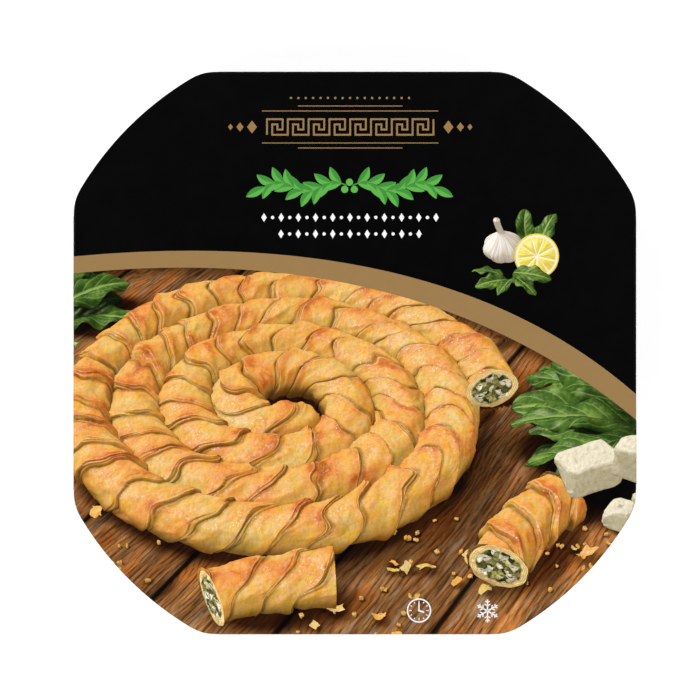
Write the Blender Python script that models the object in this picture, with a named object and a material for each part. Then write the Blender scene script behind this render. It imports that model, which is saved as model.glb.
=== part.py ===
"""A shut paperboard carton for a round pie, lying flat with its printed panel up.

Seen from above the carton is a square whose corners are cut by one circle about its centre,
with each meeting of flat side and circle rounded by a fillet. The four flat sides are folded
walls. At the four bowed corners the lid panel and the base panel end in cut edges, and the
corner walls stand a little back between them. The origin is the centre of the underside.
"""

import math

import bmesh
import bpy

# Driving dimensions, in metres.
FLAT_WIDTH = 0.290  # across two opposite flat sides
HEIGHT_AT_SIDES = 0.0395  # from the underside to the lid panel, at the walls
CORNER_RADIUS = 0.165  # of the circle that cuts the corners
FILLET_RADIUS = 0.0285  # where a flat side turns into a corner
BOARD_THICKNESS = 0.0006
FOLD_RADIUS = 0.0012  # outside a folded edge
CORNER_SETBACK = 0.0010  # of a corner wall behind the panels' cut edges
LID_CROWN = 0.0010  # rise of the lid panel from its rim to its centre
FOLD_END = 0.0015  # length over which a fold turns into a cut edge

# How finely the round stretches are cut.
FILLET_STEPS = 7
CORNER_STEPS = 10
FOLD_STEPS = 4
CROWN_RINGS = 5

HALF_WIDTH = FLAT_WIDTH / 2
FILLET_CENTRE_OUT = HALF_WIDTH - FILLET_RADIUS
FILLET_CENTRE_ALONG = math.sqrt(
    (CORNER_RADIUS - FILLET_RADIUS) ** 2 - FILLET_CENTRE_OUT**2
)
FILLET_SWEEP = math.atan2(FILLET_CENTRE_ALONG, FILLET_CENTRE_OUT)
QUARTER_TURN = math.pi / 2

# Black coated board, as it prints.
BOARD_COLOUR = (0.012, 0.012, 0.013, 1.0)
BOARD_ROUGHNESS = 0.42


def clear_scene():
    """Removes every object, so that the script can be run again."""
    for thing in list(bpy.data.objects):
        bpy.data.objects.remove(thing, do_unlink=True)


def coated_board():
    """The printed and varnished outside of the board."""
    material = bpy.data.materials.new("coated_board")
    material.use_nodes = True
    shader = material.node_tree.nodes["Principled BSDF"]
    shader.inputs["Base Color"].default_value = BOARD_COLOUR
    shader.inputs["Roughness"].default_value = BOARD_ROUGHNESS
    shader.inputs["Metallic"].default_value = 0.0
    return material


def side_of_outline():
    """Points of the side at +X, from its middle to the middle of the next one.

    Each point is its place, the outward direction there, and whether the wall is a folded one.
    """
    points = []
    for along in (0.0, FILLET_CENTRE_ALONG):
        points.append(((HALF_WIDTH, along), (1.0, 0.0), True))

    def fillet_point(angle):
        out, up = math.cos(angle), math.sin(angle)
        place = (
            FILLET_CENTRE_OUT + FILLET_RADIUS * out,
            FILLET_CENTRE_ALONG + FILLET_RADIUS * up,
        )
        return place, (out, up), False

    def corner_point(angle):
        out, up = math.cos(angle), math.sin(angle)
        return (CORNER_RADIUS * out, CORNER_RADIUS * up), (out, up), False

    first_angle = FOLD_END / FILLET_RADIUS
    for step in range(FILLET_STEPS):
        share = step / FILLET_STEPS
        points.append(
            fillet_point(first_angle + share * (FILLET_SWEEP - first_angle))
        )
    corner_sweep = QUARTER_TURN - 2 * FILLET_SWEEP
    for step in range(CORNER_STEPS + 1):
        points.append(
            corner_point(FILLET_SWEEP + corner_sweep * step / CORNER_STEPS)
        )
    # The second fillet and half of the next side mirror the first about the diagonal.
    mirrored = [
        ((place[1], place[0]), (out[1], out[0]), folded)
        for place, out, folded in points[1 : 2 + FILLET_STEPS]
    ]
    return points + mirrored[::-1]


def turned(pair, quarter_turns):
    """A point or direction turned about the centre by whole quarter turns."""
    x, y = pair
    for _ in range(quarter_turns):
        x, y = -y, x
    return x, y


def outline():
    """The whole outline, anticlockwise, as (place, outward direction, folded)."""
    side = side_of_outline()
    return [
        (turned(place, quarter), turned(out, quarter), folded)
        for quarter in range(4)
        for place, out, folded in side
    ]


def folded_wall_section():
    """(setback, height) of a wall that is folded at the base and at the lid, going up."""
    angles = [QUARTER_TURN * step / FOLD_STEPS for step in range(FOLD_STEPS + 1)]
    base_fold = [
        (
            FOLD_RADIUS * (1 - math.sin(angle)),
            FOLD_RADIUS * (1 - math.cos(angle)),
        )
        for angle in angles
    ]
    lid_fold = [(setback, HEIGHT_AT_SIDES - height) for setback, height in base_fold]
    return base_fold + lid_fold[::-1]


def corner_wall_section():
    """(setback, height) of a corner wall between the two panels' cut edges, going up."""
    base_edge = [
        (0.0, 0.0),
        (0.0, BOARD_THICKNESS / 2),
        (0.0, BOARD_THICKNESS),
        (CORNER_SETBACK / 2, BOARD_THICKNESS),
        (CORNER_SETBACK, BOARD_THICKNESS),
    ]
    lid_edge = [(setback, HEIGHT_AT_SIDES - height) for setback, height in base_edge]
    return base_edge + lid_edge[::-1]


def rounded_lid_height(x, y):
    """Height of the lid panel, which rises to its middle like a shallow dome."""
    distance = math.hypot(x, y) / CORNER_RADIUS
    return HEIGHT_AT_SIDES + LID_CROWN * max(0.0, 1.0 - distance**2)


def join_rings(mesh, lower, upper):
    """Faces between two rings of the same number of vertices."""
    count = len(lower)
    for i in range(count):
        after = (i + 1) % count
        mesh.faces.new((lower[i], lower[after], upper[after], upper[i]))


def build_carton():
    """The shut carton as one closed solid."""
    columns = outline()
    folded, corner = folded_wall_section(), corner_wall_section()
    mesh = bmesh.new()
    rings = []
    for level in range(len(folded)):
        ring = []
        for (x, y), (out_x, out_y), is_folded in columns:
            setback, height = (folded if is_folded else corner)[level]
            ring.append(
                mesh.verts.new((x - out_x * setback, y - out_y * setback, height))
            )
        rings.append(ring)

    rim = rings[-1]
    for step in range(1, CROWN_RINGS + 1):
        share = 1.0 - step / (CROWN_RINGS + 1)
        rings.append(
            [
                mesh.verts.new(
                    (
                        vertex.co.x * share,
                        vertex.co.y * share,
                        rounded_lid_height(vertex.co.x * share, vertex.co.y * share),
                    )
                )
                for vertex in rim
            ]
        )
    for lower, upper in zip(rings, rings[1:]):
        join_rings(mesh, lower, upper)

    crown = mesh.verts.new((0.0, 0.0, rounded_lid_height(0.0, 0.0)))
    innermost = rings[-1]
    for i in range(len(innermost)):
        mesh.faces.new((innermost[i], innermost[(i + 1) % len(innermost)], crown))
    mesh.faces.new(rings[0][::-1])

    mesh.normal_update()
    data = bpy.data.meshes.new("carton")
    mesh.to_mesh(data)
    mesh.free()
    data.materials.append(coated_board())
    data.shade_smooth()
    data.set_sharp_from_angle(angle=math.radians(30))
    carton = bpy.data.objects.new("carton", data)
    bpy.context.scene.collection.objects.link(carton)
    return carton


def main():
    clear_scene()
    build_carton()


main()
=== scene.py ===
import math

import bpy
import numpy as np
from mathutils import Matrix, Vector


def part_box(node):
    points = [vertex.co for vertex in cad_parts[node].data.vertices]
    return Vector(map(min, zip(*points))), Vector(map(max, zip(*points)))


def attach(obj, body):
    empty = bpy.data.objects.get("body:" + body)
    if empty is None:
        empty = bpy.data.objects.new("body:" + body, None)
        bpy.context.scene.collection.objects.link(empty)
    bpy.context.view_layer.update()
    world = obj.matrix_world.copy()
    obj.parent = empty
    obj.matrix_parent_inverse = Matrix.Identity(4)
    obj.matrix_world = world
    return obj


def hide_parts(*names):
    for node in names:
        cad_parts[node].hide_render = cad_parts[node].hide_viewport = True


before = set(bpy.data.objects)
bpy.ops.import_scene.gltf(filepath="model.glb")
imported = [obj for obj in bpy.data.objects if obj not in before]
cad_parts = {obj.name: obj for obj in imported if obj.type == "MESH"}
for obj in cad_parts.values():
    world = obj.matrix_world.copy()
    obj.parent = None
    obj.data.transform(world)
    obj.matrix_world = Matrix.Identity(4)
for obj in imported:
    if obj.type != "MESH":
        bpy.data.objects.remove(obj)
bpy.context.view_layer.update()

# Shut carton of a frozen pie, lying flat. All lengths are metres unless a name ends in Px,
# which is a place in the 700 x 700 photo, x to the right and y down.

mm = 0.001
quarterTurn = math.pi / 2
fullTurn = 2 * math.pi

photo = {
    "sidePx": 700,
    "packCentrePx": (354.9, 353.0),
    "packWidthPx": 562.0,
    "gleamPx": 0.62,  # of each fold, seen so flat that it mirrors the white table
}

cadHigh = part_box("carton")[1]

carton = {
    "half": float(cadHigh[0]) - 0.25 * mm,  # the print's thickness stays inside the CAD box
    "lidHeight": 39.5 * mm,  # at the folds
    "crown": 0.5 * mm,  # rise of the lid's middle
    "cornerRadius": 164.35 * mm,
    "filletRadius": 28.5 * mm,
    "foldRadius": 1.2 * mm,
    "foldSteps": 7,
    "foldEnd": 0.1 * mm,  # over which a fold turns into a cut edge
    "board": 0.55 * mm,
    "cornerSetback": 1.0 * mm,  # of a corner wall behind the panels' cut edges
    "cornerTuck": 5 * mm,  # of its ends behind the flat walls
    "skirtGap": 1.5 * mm,  # under the lid's three loose walls
    "innerWallGap": 0.12 * mm,  # between a loose wall and the tray wall inside it
    "innerWallHeight": 9 * mm,
    "lip": 1.8 * mm,  # of raw board behind a corner's cut edge
    "innerLip": 4 * mm,  # of raw board inside a loose wall
}

sheetScale = 2 * carton["half"] / (photo["packWidthPx"] + 2 * photo["gleamPx"])  # metres for one pixel


def fromPx(xPx, yPx):
    # place on the sheet = (pixel - pack's middle) * metres for one pixel, with y turned up
    centreX, centreY = photo["packCentrePx"]
    return (np.asarray(xPx) - centreX) * sheetScale, (centreY - np.asarray(yPx)) * sheetScale


def stacked(*parts):
    # the parts side by side in a last axis, each first spread to the shape that they share
    return np.stack(np.broadcast_arrays(*parts), -1)


def unit(vectors):
    # v / |v|
    return vectors / (np.linalg.norm(vectors, axis=-1, keepdims=True) + 1e-12)


def turned(x, y, turn):
    # x cos t - y sin t and x sin t + y cos t
    return x * np.cos(turn) - y * np.sin(turn), x * np.sin(turn) + y * np.cos(turn)


def pathLength(x, y):
    # distance walked along a line of points, 0 at the first
    return np.append(0, np.cumsum(np.hypot(np.diff(x), np.diff(y))))


def gridFaces(shape, closeColumns=False):
    # quad (i, j) of each grid joins points i, i+1 and j, j+1, with the last column joined to the
    # first if closed
    rows, columns = shape[-2:]
    i = np.arange(rows - 1)[:, None]
    j = np.arange(columns if closeColumns else columns - 1)[None, :]
    jNext = (j + 1) % columns
    faces = stacked(i * columns + j, (i + 1) * columns + j, (i + 1) * columns + jNext, i * columns + jNext)
    starts = np.arange(math.prod(shape[:-2])) * rows * columns
    return (faces.reshape(-1, 4) + starts[:, None, None]).reshape(-1, 4)


def grid(points, faceUp=None, sheet=None, skip=None, closeColumns=False, **fields):
    # one surface of rows x columns x 3 points, or several alike with their number in front; each
    # field holds one number for each point. A face that skip marks goes. The whole faces the way
    # of faceUp, or each face by itself out of the sheet, on which it lies at the places x and y
    shape = points.shape[:-1]
    flat = points.reshape(-1, 3)
    faces = gridFaces(shape, closeColumns)
    if skip is not None:
        faces = faces[~skip]
    a, b, c, d = (flat[faces[:, k]] for k in range(4))
    normals = np.cross(c - a, d - b)
    if faceUp is not None and (normals @ np.array(faceUp, float)).sum() < 0:
        faces = faces[:, ::-1]
    if sheet is not None:
        x, y = (value.reshape(-1)[faces] for value in sheet)
        area = (x[:, 2] - x[:, 0]) * (y[:, 3] - y[:, 1]) - (x[:, 3] - x[:, 1]) * (y[:, 2] - y[:, 0])
        faces = np.where(area[:, None] < 0, faces[:, ::-1], faces)
    return {"points": flat, "faces": faces[np.linalg.norm(normals, axis=1) > 1e-12],
            "fields": {key: np.broadcast_to(value, shape).reshape(-1) for key, value in fields.items()}}


def makePiece(name, grids, material):
    # joins the grids into one mesh object that rides on the root body. The fields u and v make its
    # map, and each of the others an attribute
    counts = np.cumsum([0] + [len(g["points"]) for g in grids])
    points = np.concatenate([g["points"] for g in grids])
    faces = np.concatenate([g["faces"] + start for g, start in zip(grids, counts)])
    used, renumbered = np.unique(faces, return_inverse=True)
    faces = renumbered.reshape(-1, 4)
    mesh = bpy.data.meshes.new(name)
    mesh.vertices.add(len(used))
    mesh.vertices.foreach_set("co", points[used].astype(np.float32).ravel())
    mesh.loops.add(faces.size)
    mesh.loops.foreach_set("vertex_index", faces.ravel().astype(np.int32))
    mesh.polygons.add(len(faces))
    mesh.polygons.foreach_set("loop_start", np.arange(0, faces.size, 4, dtype=np.int32))
    mesh.update(calc_edges=True)
    keys = {"u", "v"}.union(*(g["fields"] for g in grids))
    values = {key: np.concatenate([g["fields"].get(key, np.zeros(len(g["points"]))) for g in grids])
              [used].astype(np.float32) for key in sorted(keys)}
    corners = stacked(values.pop("u"), values.pop("v"))[faces.ravel()]
    mesh.uv_layers.new(name="pieceMap").uv.foreach_set("vector", corners.ravel())
    for key, value in values.items():
        mesh.attributes.new(key, "FLOAT", "POINT").data.foreach_set("value", value)
    mesh.validate()
    mesh.shade_smooth()
    mesh.set_sharp_from_angle(angle=math.radians(40))
    mesh.materials.append(material)
    piece = bpy.data.objects.new(name, mesh)
    bpy.context.scene.collection.objects.link(piece)
    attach(piece, "root")
    print(f"{name}: {len(faces)} faces")
    return piece


paperWhite = 0.8  # share of the light that unprinted coated board gives back


def ink(red, green, blue):
    # linear = ((s + 0.055) / 1.055) ^ 2.4 for an sRGB share s, times the board's white
    shares = np.array([red, green, blue]) / 255
    linear = np.where(shares > 0.04045, ((shares + 0.055) / 1.055) ** 2.4, shares / 12.92)
    return (*(float(value) * paperWhite for value in linear), 1.0)


def addNode(tree, kind, inputs=None, **settings):
    # a shader node; an input is another node's socket, which is linked, or a value
    node = tree.nodes.new("ShaderNode" + kind)
    for key, value in settings.items():
        setattr(node, key, value)
    for key, value in (inputs or {}).items():
        if isinstance(value, bpy.types.NodeSocket):
            tree.links.new(value, node.inputs[key])
        else:
            node.inputs[key].default_value = value
    return node


def maths(tree, operation, first, second=0.0, clamp=False):
    return addNode(tree, "Math", {0: first, 1: second}, operation=operation, use_clamp=clamp).outputs[0]


def plus(tree, first, second):
    return maths(tree, "ADD", first, second)


def times(tree, first, second):
    return maths(tree, "MULTIPLY", first, second)


def mapping(tree, vector, **inputs):
    return addNode(tree, "Mapping", {"Vector": vector, **inputs}).outputs[0]


def combined(tree, x, y, z=0.0):
    return addNode(tree, "CombineXYZ", {0: x, 1: y, 2: z}).outputs[0]


def mixed(tree, share, first, second, blend="MIX"):
    inputs = {"Fac": share, "Color1": first, "Color2": second}
    return addNode(tree, "MixRGB", inputs, blend_type=blend).outputs[0]


def ramp(tree, share, stops, interpolation="LINEAR"):
    # each stop is a place and a grey from 0 to 1, an ink's three numbers or a colour's four
    node = addNode(tree, "ValToRGB", {"Fac": share})
    band = node.color_ramp
    band.interpolation = interpolation
    while len(band.elements) < len(stops):
        band.elements.new(1.0)
    for element, (place, value) in zip(band.elements, stops):
        value = value if isinstance(value, tuple) else (value, value, value, 1.0)
        element.position = place
        element.color = value if len(value) == 4 else ink(*value)
    return node.outputs["Color"]


def shaded(tree, colour, share, stops):
    # the colour times a ramp
    return mixed(tree, 1.0, colour, ramp(tree, share, stops), "MULTIPLY")


def spread(tree, value, low, high, start=0.0, end=1.0, clamp=True):
    # stretches the range from start to end over the one from low to high
    inputs = {"Value": value, "From Min": start, "From Max": end, "To Min": low, "To Max": high}
    return addNode(tree, "MapRange", inputs, clamp=clamp).outputs[0]


def field(tree, name):
    return addNode(tree, "Attribute", attribute_name=name).outputs["Fac"]


def boardCoordinates(tree):
    return addNode(tree, "TexCoord").outputs["Object"]


def noise(tree, where, size, detail=2.0, roughness=0.5, stretch=(1, 1, 1), distortion=0.0):
    # size is the width of one blotch in metres, or in the map's own unit
    inputs = {"Vector": mapping(tree, where, Scale=tuple(s / size for s in stretch)), "Scale": 1.0,
              "Detail": detail, "Roughness": roughness, "Distortion": distortion}
    return addNode(tree, "TexNoise", inputs).outputs["Fac"]


varnish = {
    "roughness": (0.27, 0.34),
    "specular": 0.12,
    "bareGloss": 0.45,  # of board without print, beside the varnish
    "fibre": 0.35 * mm,  # width of the board's texture under the varnish
    "fibreShade": [(0.3, 0.965), (0.7, 1.0)],
    "fibreBump": (0.06, 0.012 * mm),  # strength and height
    "patch": 9 * mm,  # width of the places where it is more or less rough
    "wave": 34 * mm,  # width of the panel's slow waves
    "waveBump": (0.6, 0.5 * mm),
}


def printedMaterial(name, paint, gloss=1.0):
    # paint(tree) gives the ink's colour; varnish, board texture and slow waves are the same on all
    material = bpy.data.materials.new(name)
    material.use_nodes = True
    tree = material.node_tree
    shader = tree.nodes["Principled BSDF"]
    where = boardCoordinates(tree)
    fibre = noise(tree, where, varnish["fibre"], detail=3.0)
    wave = noise(tree, where, varnish["wave"], detail=1.0)
    tree.links.new(shaded(tree, paint(tree), fibre, varnish["fibreShade"]), shader.inputs["Base Color"])
    low, high = varnish["roughness"]
    rough = spread(tree, noise(tree, where, varnish["patch"], detail=3.0), low / gloss, high / gloss)
    tree.links.new(rough, shader.inputs["Roughness"])
    shader.inputs["Specular IOR Level"].default_value = varnish["specular"]
    for height, (strength, distance) in ((fibre, varnish["fibreBump"]), (wave, varnish["waveBump"])):
        bump = addNode(tree, "Bump", {"Height": height, "Strength": strength, "Distance": distance})
        if shader.inputs["Normal"].is_linked:  # the waves are added to the fibres
            tree.links.new(shader.inputs["Normal"].links[0].from_socket, bump.inputs["Normal"])
        tree.links.new(bump.outputs[0], shader.inputs["Normal"])
    return material


flatInks = {  # colour, and how much darker it is in places
    "blackInk": ((3, 3, 3), 0.0),
    "dullGoldInk": ((161, 128, 82), 0.03),
    "whiteInk": ((255, 255, 255), 0.02),
}


def flatMaterial(name):
    # one printed colour
    colour, mottle = flatInks[name]

    def paint(tree):
        cloudy = noise(tree, boardCoordinates(tree), 6 * mm, detail=4.0)
        return shaded(tree, ink(*colour), cloudy, [(0.3, 1.0 - mottle), (0.7, 1.0)])

    return printedMaterial(name, paint)


foldStart = carton["half"] - carton["foldRadius"]
foldLength = carton["foldRadius"] * quarterTurn
wallDrop = carton["lidHeight"] - carton["foldRadius"] - carton["skirtGap"]
sheetHalf = foldStart + foldLength + wallDrop  # from the middle to the loose edge of a wall
foldPlaces = np.linspace(foldStart, foldStart + foldLength, carton["foldSteps"])

filletOut = carton["half"] - carton["filletRadius"]
filletAlong = math.sqrt((carton["cornerRadius"] - carton["filletRadius"]) ** 2 - filletOut**2)
filletSweep = math.atan2(filletAlong, filletOut)


def onSheet(x, y, lift=0.0):
    # the flat sheet wrapped on the carton: past the fold's start a point goes round the fold's
    # arc and then straight down the wall; lift moves it out along the surface's normal
    places, radius = stacked(x, y), carton["foldRadius"]
    away = np.abs(places)
    past = np.clip(away - foldStart, 0.0, None)
    angle = np.clip(past / radius, 0.0, quarterTurn)
    out = np.minimum(away, foldStart) + (radius + np.asarray(lift)[..., None]) * np.sin(angle)
    down = (radius * (1 - np.cos(angle)) + np.clip(past - foldLength, 0.0, None)).sum(-1)
    rise = carton["crown"] * (1 - np.clip(away / foldStart, 0, 1) ** 2).prod(-1)
    height = carton["lidHeight"] + rise - down + lift * np.cos(angle).prod(-1)
    return np.concatenate([np.sign(places) * out, height[..., None]], -1)


def outlineTable(steps=40):
    # one eighth is a straight, a fillet arc and half a corner arc; mirrored and turned it makes
    # the whole outline, anticlockwise from the middle of the side at +X. A place is x + iy
    turn = np.linspace(0, filletSweep, steps, endpoint=False)
    corner = np.linspace(filletSweep, quarterTurn / 2, steps + 1)
    eighth = np.concatenate([
        carton["half"] + 1j * np.linspace(0, filletAlong, steps, endpoint=False),
        filletOut + 1j * filletAlong + carton["filletRadius"] * np.exp(1j * turn),
        carton["cornerRadius"] * np.exp(1j * corner),
    ])
    normal = np.concatenate([np.zeros(steps), turn, corner])
    quarter = np.append(eighth, 1j * np.conj(eighth[-2:0:-1]))
    normal = np.append(normal, quarterTurn - normal[-2:0:-1])
    places = np.concatenate([quarter * 1j**side for side in range(4)] + [quarter[:1]])
    normals = np.append([normal + side * quarterTurn for side in range(4)], fullTurn)
    return pathLength(places.real, places.imag), places.real, places.imag, normals


rimLength, rimX, rimY, rimNormal = outlineTable()
rimTotal = rimLength[-1]
quarterLength = rimTotal / 4


def rimAt(distance, inset=0.0):
    # the outline at a distance along it, moved in along its normal by the inset
    at = np.mod(distance, rimTotal)
    x, y, normal = (np.interp(at, rimLength, values) for values in (rimX, rimY, rimNormal))
    return x - inset * np.cos(normal), y - inset * np.sin(normal)


bandCurves = {  # quadratic Bezier curves in photo pixels
    "top": ((73.5, 256.5), (439.0, 222.2), (635.5, 393.8)),
    "bottom": ((73.5, 273.5), (416.0, 237.8), (635.5, 419.4)),
}


def bandHeight(edge, x):
    # the curve's y where its x is the given one: t solves x(t) = x, and y = B(t)
    (x0, y0), (x1, y1), (x2, y2) = (fromPx(*point) for point in bandCurves[edge])
    a, b, c = x0 - 2 * x1 + x2, 2 * (x1 - x0), x0 - np.asarray(x)
    t = (np.sqrt(b * b - 4 * a * c) - b) / (2 * a)
    return (1 - t) ** 2 * y0 + 2 * t * (1 - t) * y1 + t * t * y2


lidGrid = {  # points of the flat areas' grids
    "columns": 260,
    "rows": 30,
    "bandRows": 8,
    "bandColumns": 6,  # on a wall
    "cornerColumns": 90,
    "cornerRows": 4,
    "baseColumns": 481,
    "baseRings": 14,
}


def between(low, high, rows):
    # straight lines from one curve to the other, cut into equal rows
    return tuple(np.linspace(a, b, rows) for a, b in zip(low, high))


def bandCurve(edge, columns=lidGrid["columns"]):
    # the band's edge from the right fold to the left one, spaced evenly along its length
    fine = np.linspace(foldStart, -foldStart, 2000)
    length = pathLength(fine, bandHeight(edge, fine))
    x = np.interp(np.linspace(0, length[-1], columns), length, fine)
    x[0], x[-1] = foldStart, -foldStart
    return x, bandHeight(edge, x)


def rimFrom(start, end, columns=lidGrid["columns"]):
    # the outline moved in to where the folds start
    return rimAt(np.linspace(start, end, columns), carton["foldRadius"])


# the cut edge of each corner, from one flat side's end to the next one's start
cornerSpans = [(k * quarterLength + filletAlong, (k + 1) * quarterLength - filletAlong) for k in range(4)]
sides = ("right", "left", "back", "front")


def cornerField(corner):
    # the lid's margin along a bowed corner, which isn't folded but runs on to its cut edge
    distance = np.linspace(*cornerSpans[corner], lidGrid["cornerColumns"])
    return between(rimAt(distance), rimAt(distance, carton["foldRadius"]), lidGrid["cornerRows"])


def onSide(side, out, along):
    # x and y from the distance out from the middle and the one along the side
    places = {"right": (out, along), "left": (-out, along), "back": (along, out), "front": (along, -out)}
    return places[side]


def wallField(side, low, high, rows=24, columns=40):
    # part of one wall on the flat sheet, from its fold to its loose edge and between two lines
    # along it: each is a distance, or an edge of the band where this runs down the wall
    out = np.append(foldPlaces, np.linspace(foldPlaces[-1], sheetHalf, rows)[1:])
    ends = [bandHeight(end, onSide(side, out, 0)[0]) if end in bandCurves else np.full_like(out, end)
            for end in (low, high)]
    along = np.linspace(*ends, columns, axis=-1)
    return onSide(side, np.broadcast_to(out[:, None], along.shape), along)


def laid(x, y, lift=0.0, **fields):
    # a surface at the places x and y of the sheet
    return grid(onSheet(x, y, lift), sheet=(x, y), **fields)


topRight, topLeft = bandHeight("top", foldStart), bandHeight("top", -foldStart)
lowRight, lowLeft = bandHeight("bottom", foldStart), bandHeight("bottom", -foldStart)

blackMaterial = flatMaterial("blackInk")
goldMaterial = flatMaterial("dullGoldInk")

blackAreas = [
    between(bandCurve("top"), rimFrom(topRight, rimTotal / 2 - topLeft), lidGrid["rows"]),
    cornerField(0),
    cornerField(1),
    wallField("back", -filletAlong, filletAlong),
    wallField("left", "top", filletAlong),
    wallField("right", "top", filletAlong),
]
blackPrint = makePiece("blackPrint", [laid(*area) for area in blackAreas], blackMaterial)
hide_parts("carton")

goldAreas = [
    between(bandCurve("bottom"), bandCurve("top"), lidGrid["bandRows"]),
    wallField("left", "bottom", "top", columns=lidGrid["bandColumns"]),
    wallField("right", "bottom", "top", columns=lidGrid["bandColumns"]),
]
makePiece("goldBand", [laid(*area) for area in goldAreas], goldMaterial)


def strip(first, second, faceUp):
    # a ruled strip between two curves of points
    return grid(np.stack([first, second]), faceUp=faceUp)


def rimCurve(distance, inset, height):
    # the outline as a curve of points at a height
    return stacked(*rimAt(distance, inset), height)


def facingOut(points):
    # a wall's own direction: from the axis to its middle
    middle = points.reshape(-1, 3).mean(0)
    return middle[0], middle[1], 0.0


def cutEdges():
    # ruled strips: the board's thickness along the lid's and the base's bowed corners, with a lip of bare
    # board behind it
    board, lip = carton["board"], carton["lip"]
    strips = []
    for start, end in cornerSpans:
        distance = np.concatenate([[start], np.linspace(start, end, lidGrid["cornerColumns"]), [end]])
        inset = np.zeros(len(distance))
        inset[[0, -1]] = carton["foldRadius"]
        crest = onSheet(*rimAt(distance, inset))
        under = crest - (0, 0, board)
        low, high = rimCurve(distance, inset, 0.0), rimCurve(distance, inset, board)
        strips += [strip(crest, under, facingOut(crest)),
                   strip(under, rimCurve(distance, lip, under[:, 2]), (0, 0, -1)),
                   strip(low, high, facingOut(low)),
                   strip(high, rimCurve(distance, lip, board), (0, 0, 1))]
    return strips


def wallEnds():
    # ruled strips between a wall's edge and the same edge moved in by the board's thickness, at
    # both its ends, and under the three loose walls, with a lip of bare board inside
    out = np.append(foldPlaces, sheetHalf)
    strips = []
    for side in sides:
        for end in (-filletAlong, filletAlong):
            place = onSide(side, out, np.full_like(out, end))
            inner = onSheet(*place, lift=-carton["board"])
            strips.append(strip(onSheet(*place), inner, (*onSide(side, 0, end), 0)))
        if side != "back":
            place = onSide(side, np.full(3, sheetHalf), np.linspace(-filletAlong, filletAlong, 3))
            inner = onSheet(*place, lift=-carton["board"])
            strips.append(strip(onSheet(*place), inner, (0, 0, -1)))
            strips.append(strip(inner, inner + (0, 0, carton["innerLip"]), (*onSide(side, -1, 0), 0)))
    return strips


def cornerWalls():
    # upright, behind the cut edges, and tucked behind the flat walls at both ends
    tuck, setback, board = carton["cornerTuck"], carton["cornerSetback"], carton["board"]
    walls = []
    for start, end in cornerSpans:
        distance = np.linspace(start - tuck, end + tuck, lidGrid["cornerColumns"])
        low = rimCurve(distance, setback, board)
        high = rimCurve(distance, setback, carton["lidHeight"] - board)
        walls.append(grid(np.linspace(low, high, 12), faceUp=facingOut(low)))
    return walls


def baseInset(distance):
    # the base panel's flat part stops at the folds of the tray walls, which stand inside the lid's
    # loose walls, and at the back at the fold into the lid's own wall. Past a folded side it
    # runs out to the cut edge
    toBack = np.abs(np.mod(distance, rimTotal) - quarterLength)
    setback = np.where(toBack < quarterLength / 2, 0.0, carton["board"] + carton["innerWallGap"])
    toSide = np.abs(np.mod(distance + quarterLength / 2, quarterLength) - quarterLength / 2)
    folded = np.clip(1 - (toSide - filletAlong) / carton["foldEnd"], 0, 1)
    return (setback + carton["foldRadius"]) * folded


def basePanel():
    # rings from the middle to the rim, then folds up along the four flat sides
    foldEnd, radius = carton["foldEnd"], carton["foldRadius"]
    turns = [place for start, end in cornerSpans for place in (start, start + foldEnd, end - foldEnd, end)]
    distance = np.unique(np.append(np.linspace(0, rimTotal, lidGrid["baseColumns"])[:-1], turns))
    x, y = rimAt(distance, baseInset(distance))
    share = np.linspace(0, 1, lidGrid["baseRings"])[:, None]
    grids = [grid(stacked(x * share, y * share, 0.0), faceUp=(0, 0, -1), closeColumns=True)]
    angle = np.linspace(0, quarterTurn, carton["foldSteps"])[:, None]
    along = np.linspace(-filletAlong, filletAlong, 24)[None, :]
    for side in sides:
        tray = 0.0 if side == "back" else carton["board"] + carton["innerWallGap"]
        tall = carton["skirtGap"] if side == "back" else carton["innerWallHeight"]
        out = carton["half"] - tray - radius * (1 - np.sin(angle))
        height = radius * (1 - np.cos(angle))
        out, height = np.append(out, out[-1:], 0), np.append(height, [[tall]], 0)
        points = stacked(*onSide(side, out, along), height)
        grids.append(grid(points, faceUp=(*onSide(side, 1, 0), -0.3)))
    return grids


def rawBoard(tree):
    # pale grey-brown pulp with darker fibres
    where = boardCoordinates(tree)
    pulp = noise(tree, where, 0.9 * mm, detail=4.0)
    fibres = noise(tree, where, 0.25 * mm, detail=2.0, stretch=(1, 1, 4))
    base = ramp(tree, pulp, [(0.3, (196, 186, 168)), (0.7, (226, 219, 205))])
    return shaded(tree, base, fibres, [(0.42, 0.86), (0.55, 1.0)])


boardMaterial = printedMaterial("rawBoard", rawBoard, varnish["bareGloss"])
makePiece("boardEdges", cutEdges() + wallEnds(), boardMaterial)
makePiece("cornerWalls", cornerWalls(), blackMaterial)
makePiece("basePanel", basePanel(), blackMaterial)

# The picture under the band is a still life on a table. It is worked out as surfaces in the
# table's own frame (x right, y away from the viewer, z up, at the size it is printed), lit by a
# painted light, and then laid flat on the sheet.

inkLayers = {
    "thickness": 0.01 * mm,
    "pressed": 0.24e-3,  # print depth for each metre of the picture's own depth
    "onWall": 0.6,  # share of the lift that is left on a wall
    "foldStep": 0.22 * mm,  # across the fold, of the parts of a motif's cell that goes round it
    "mostSteps": 10,
}

picture = {
    "middlePx": (280, 426),  # where the table's origin is printed
    "elevation": math.radians(38),  # of the viewer above the table
    "distance": 750 * mm,  # of the viewer from the table's origin
    "key": (-0.55, 0.30, 0.78),  # direction that the pictured light comes from
    "keyShare": 0.64,
    "fillShare": 0.22,
    "shadeShare": 0.47,
    "glintPower": 22,
    "turnedAway": -0.15,  # share towards the viewer below which a surface isn't printed
}

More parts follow.
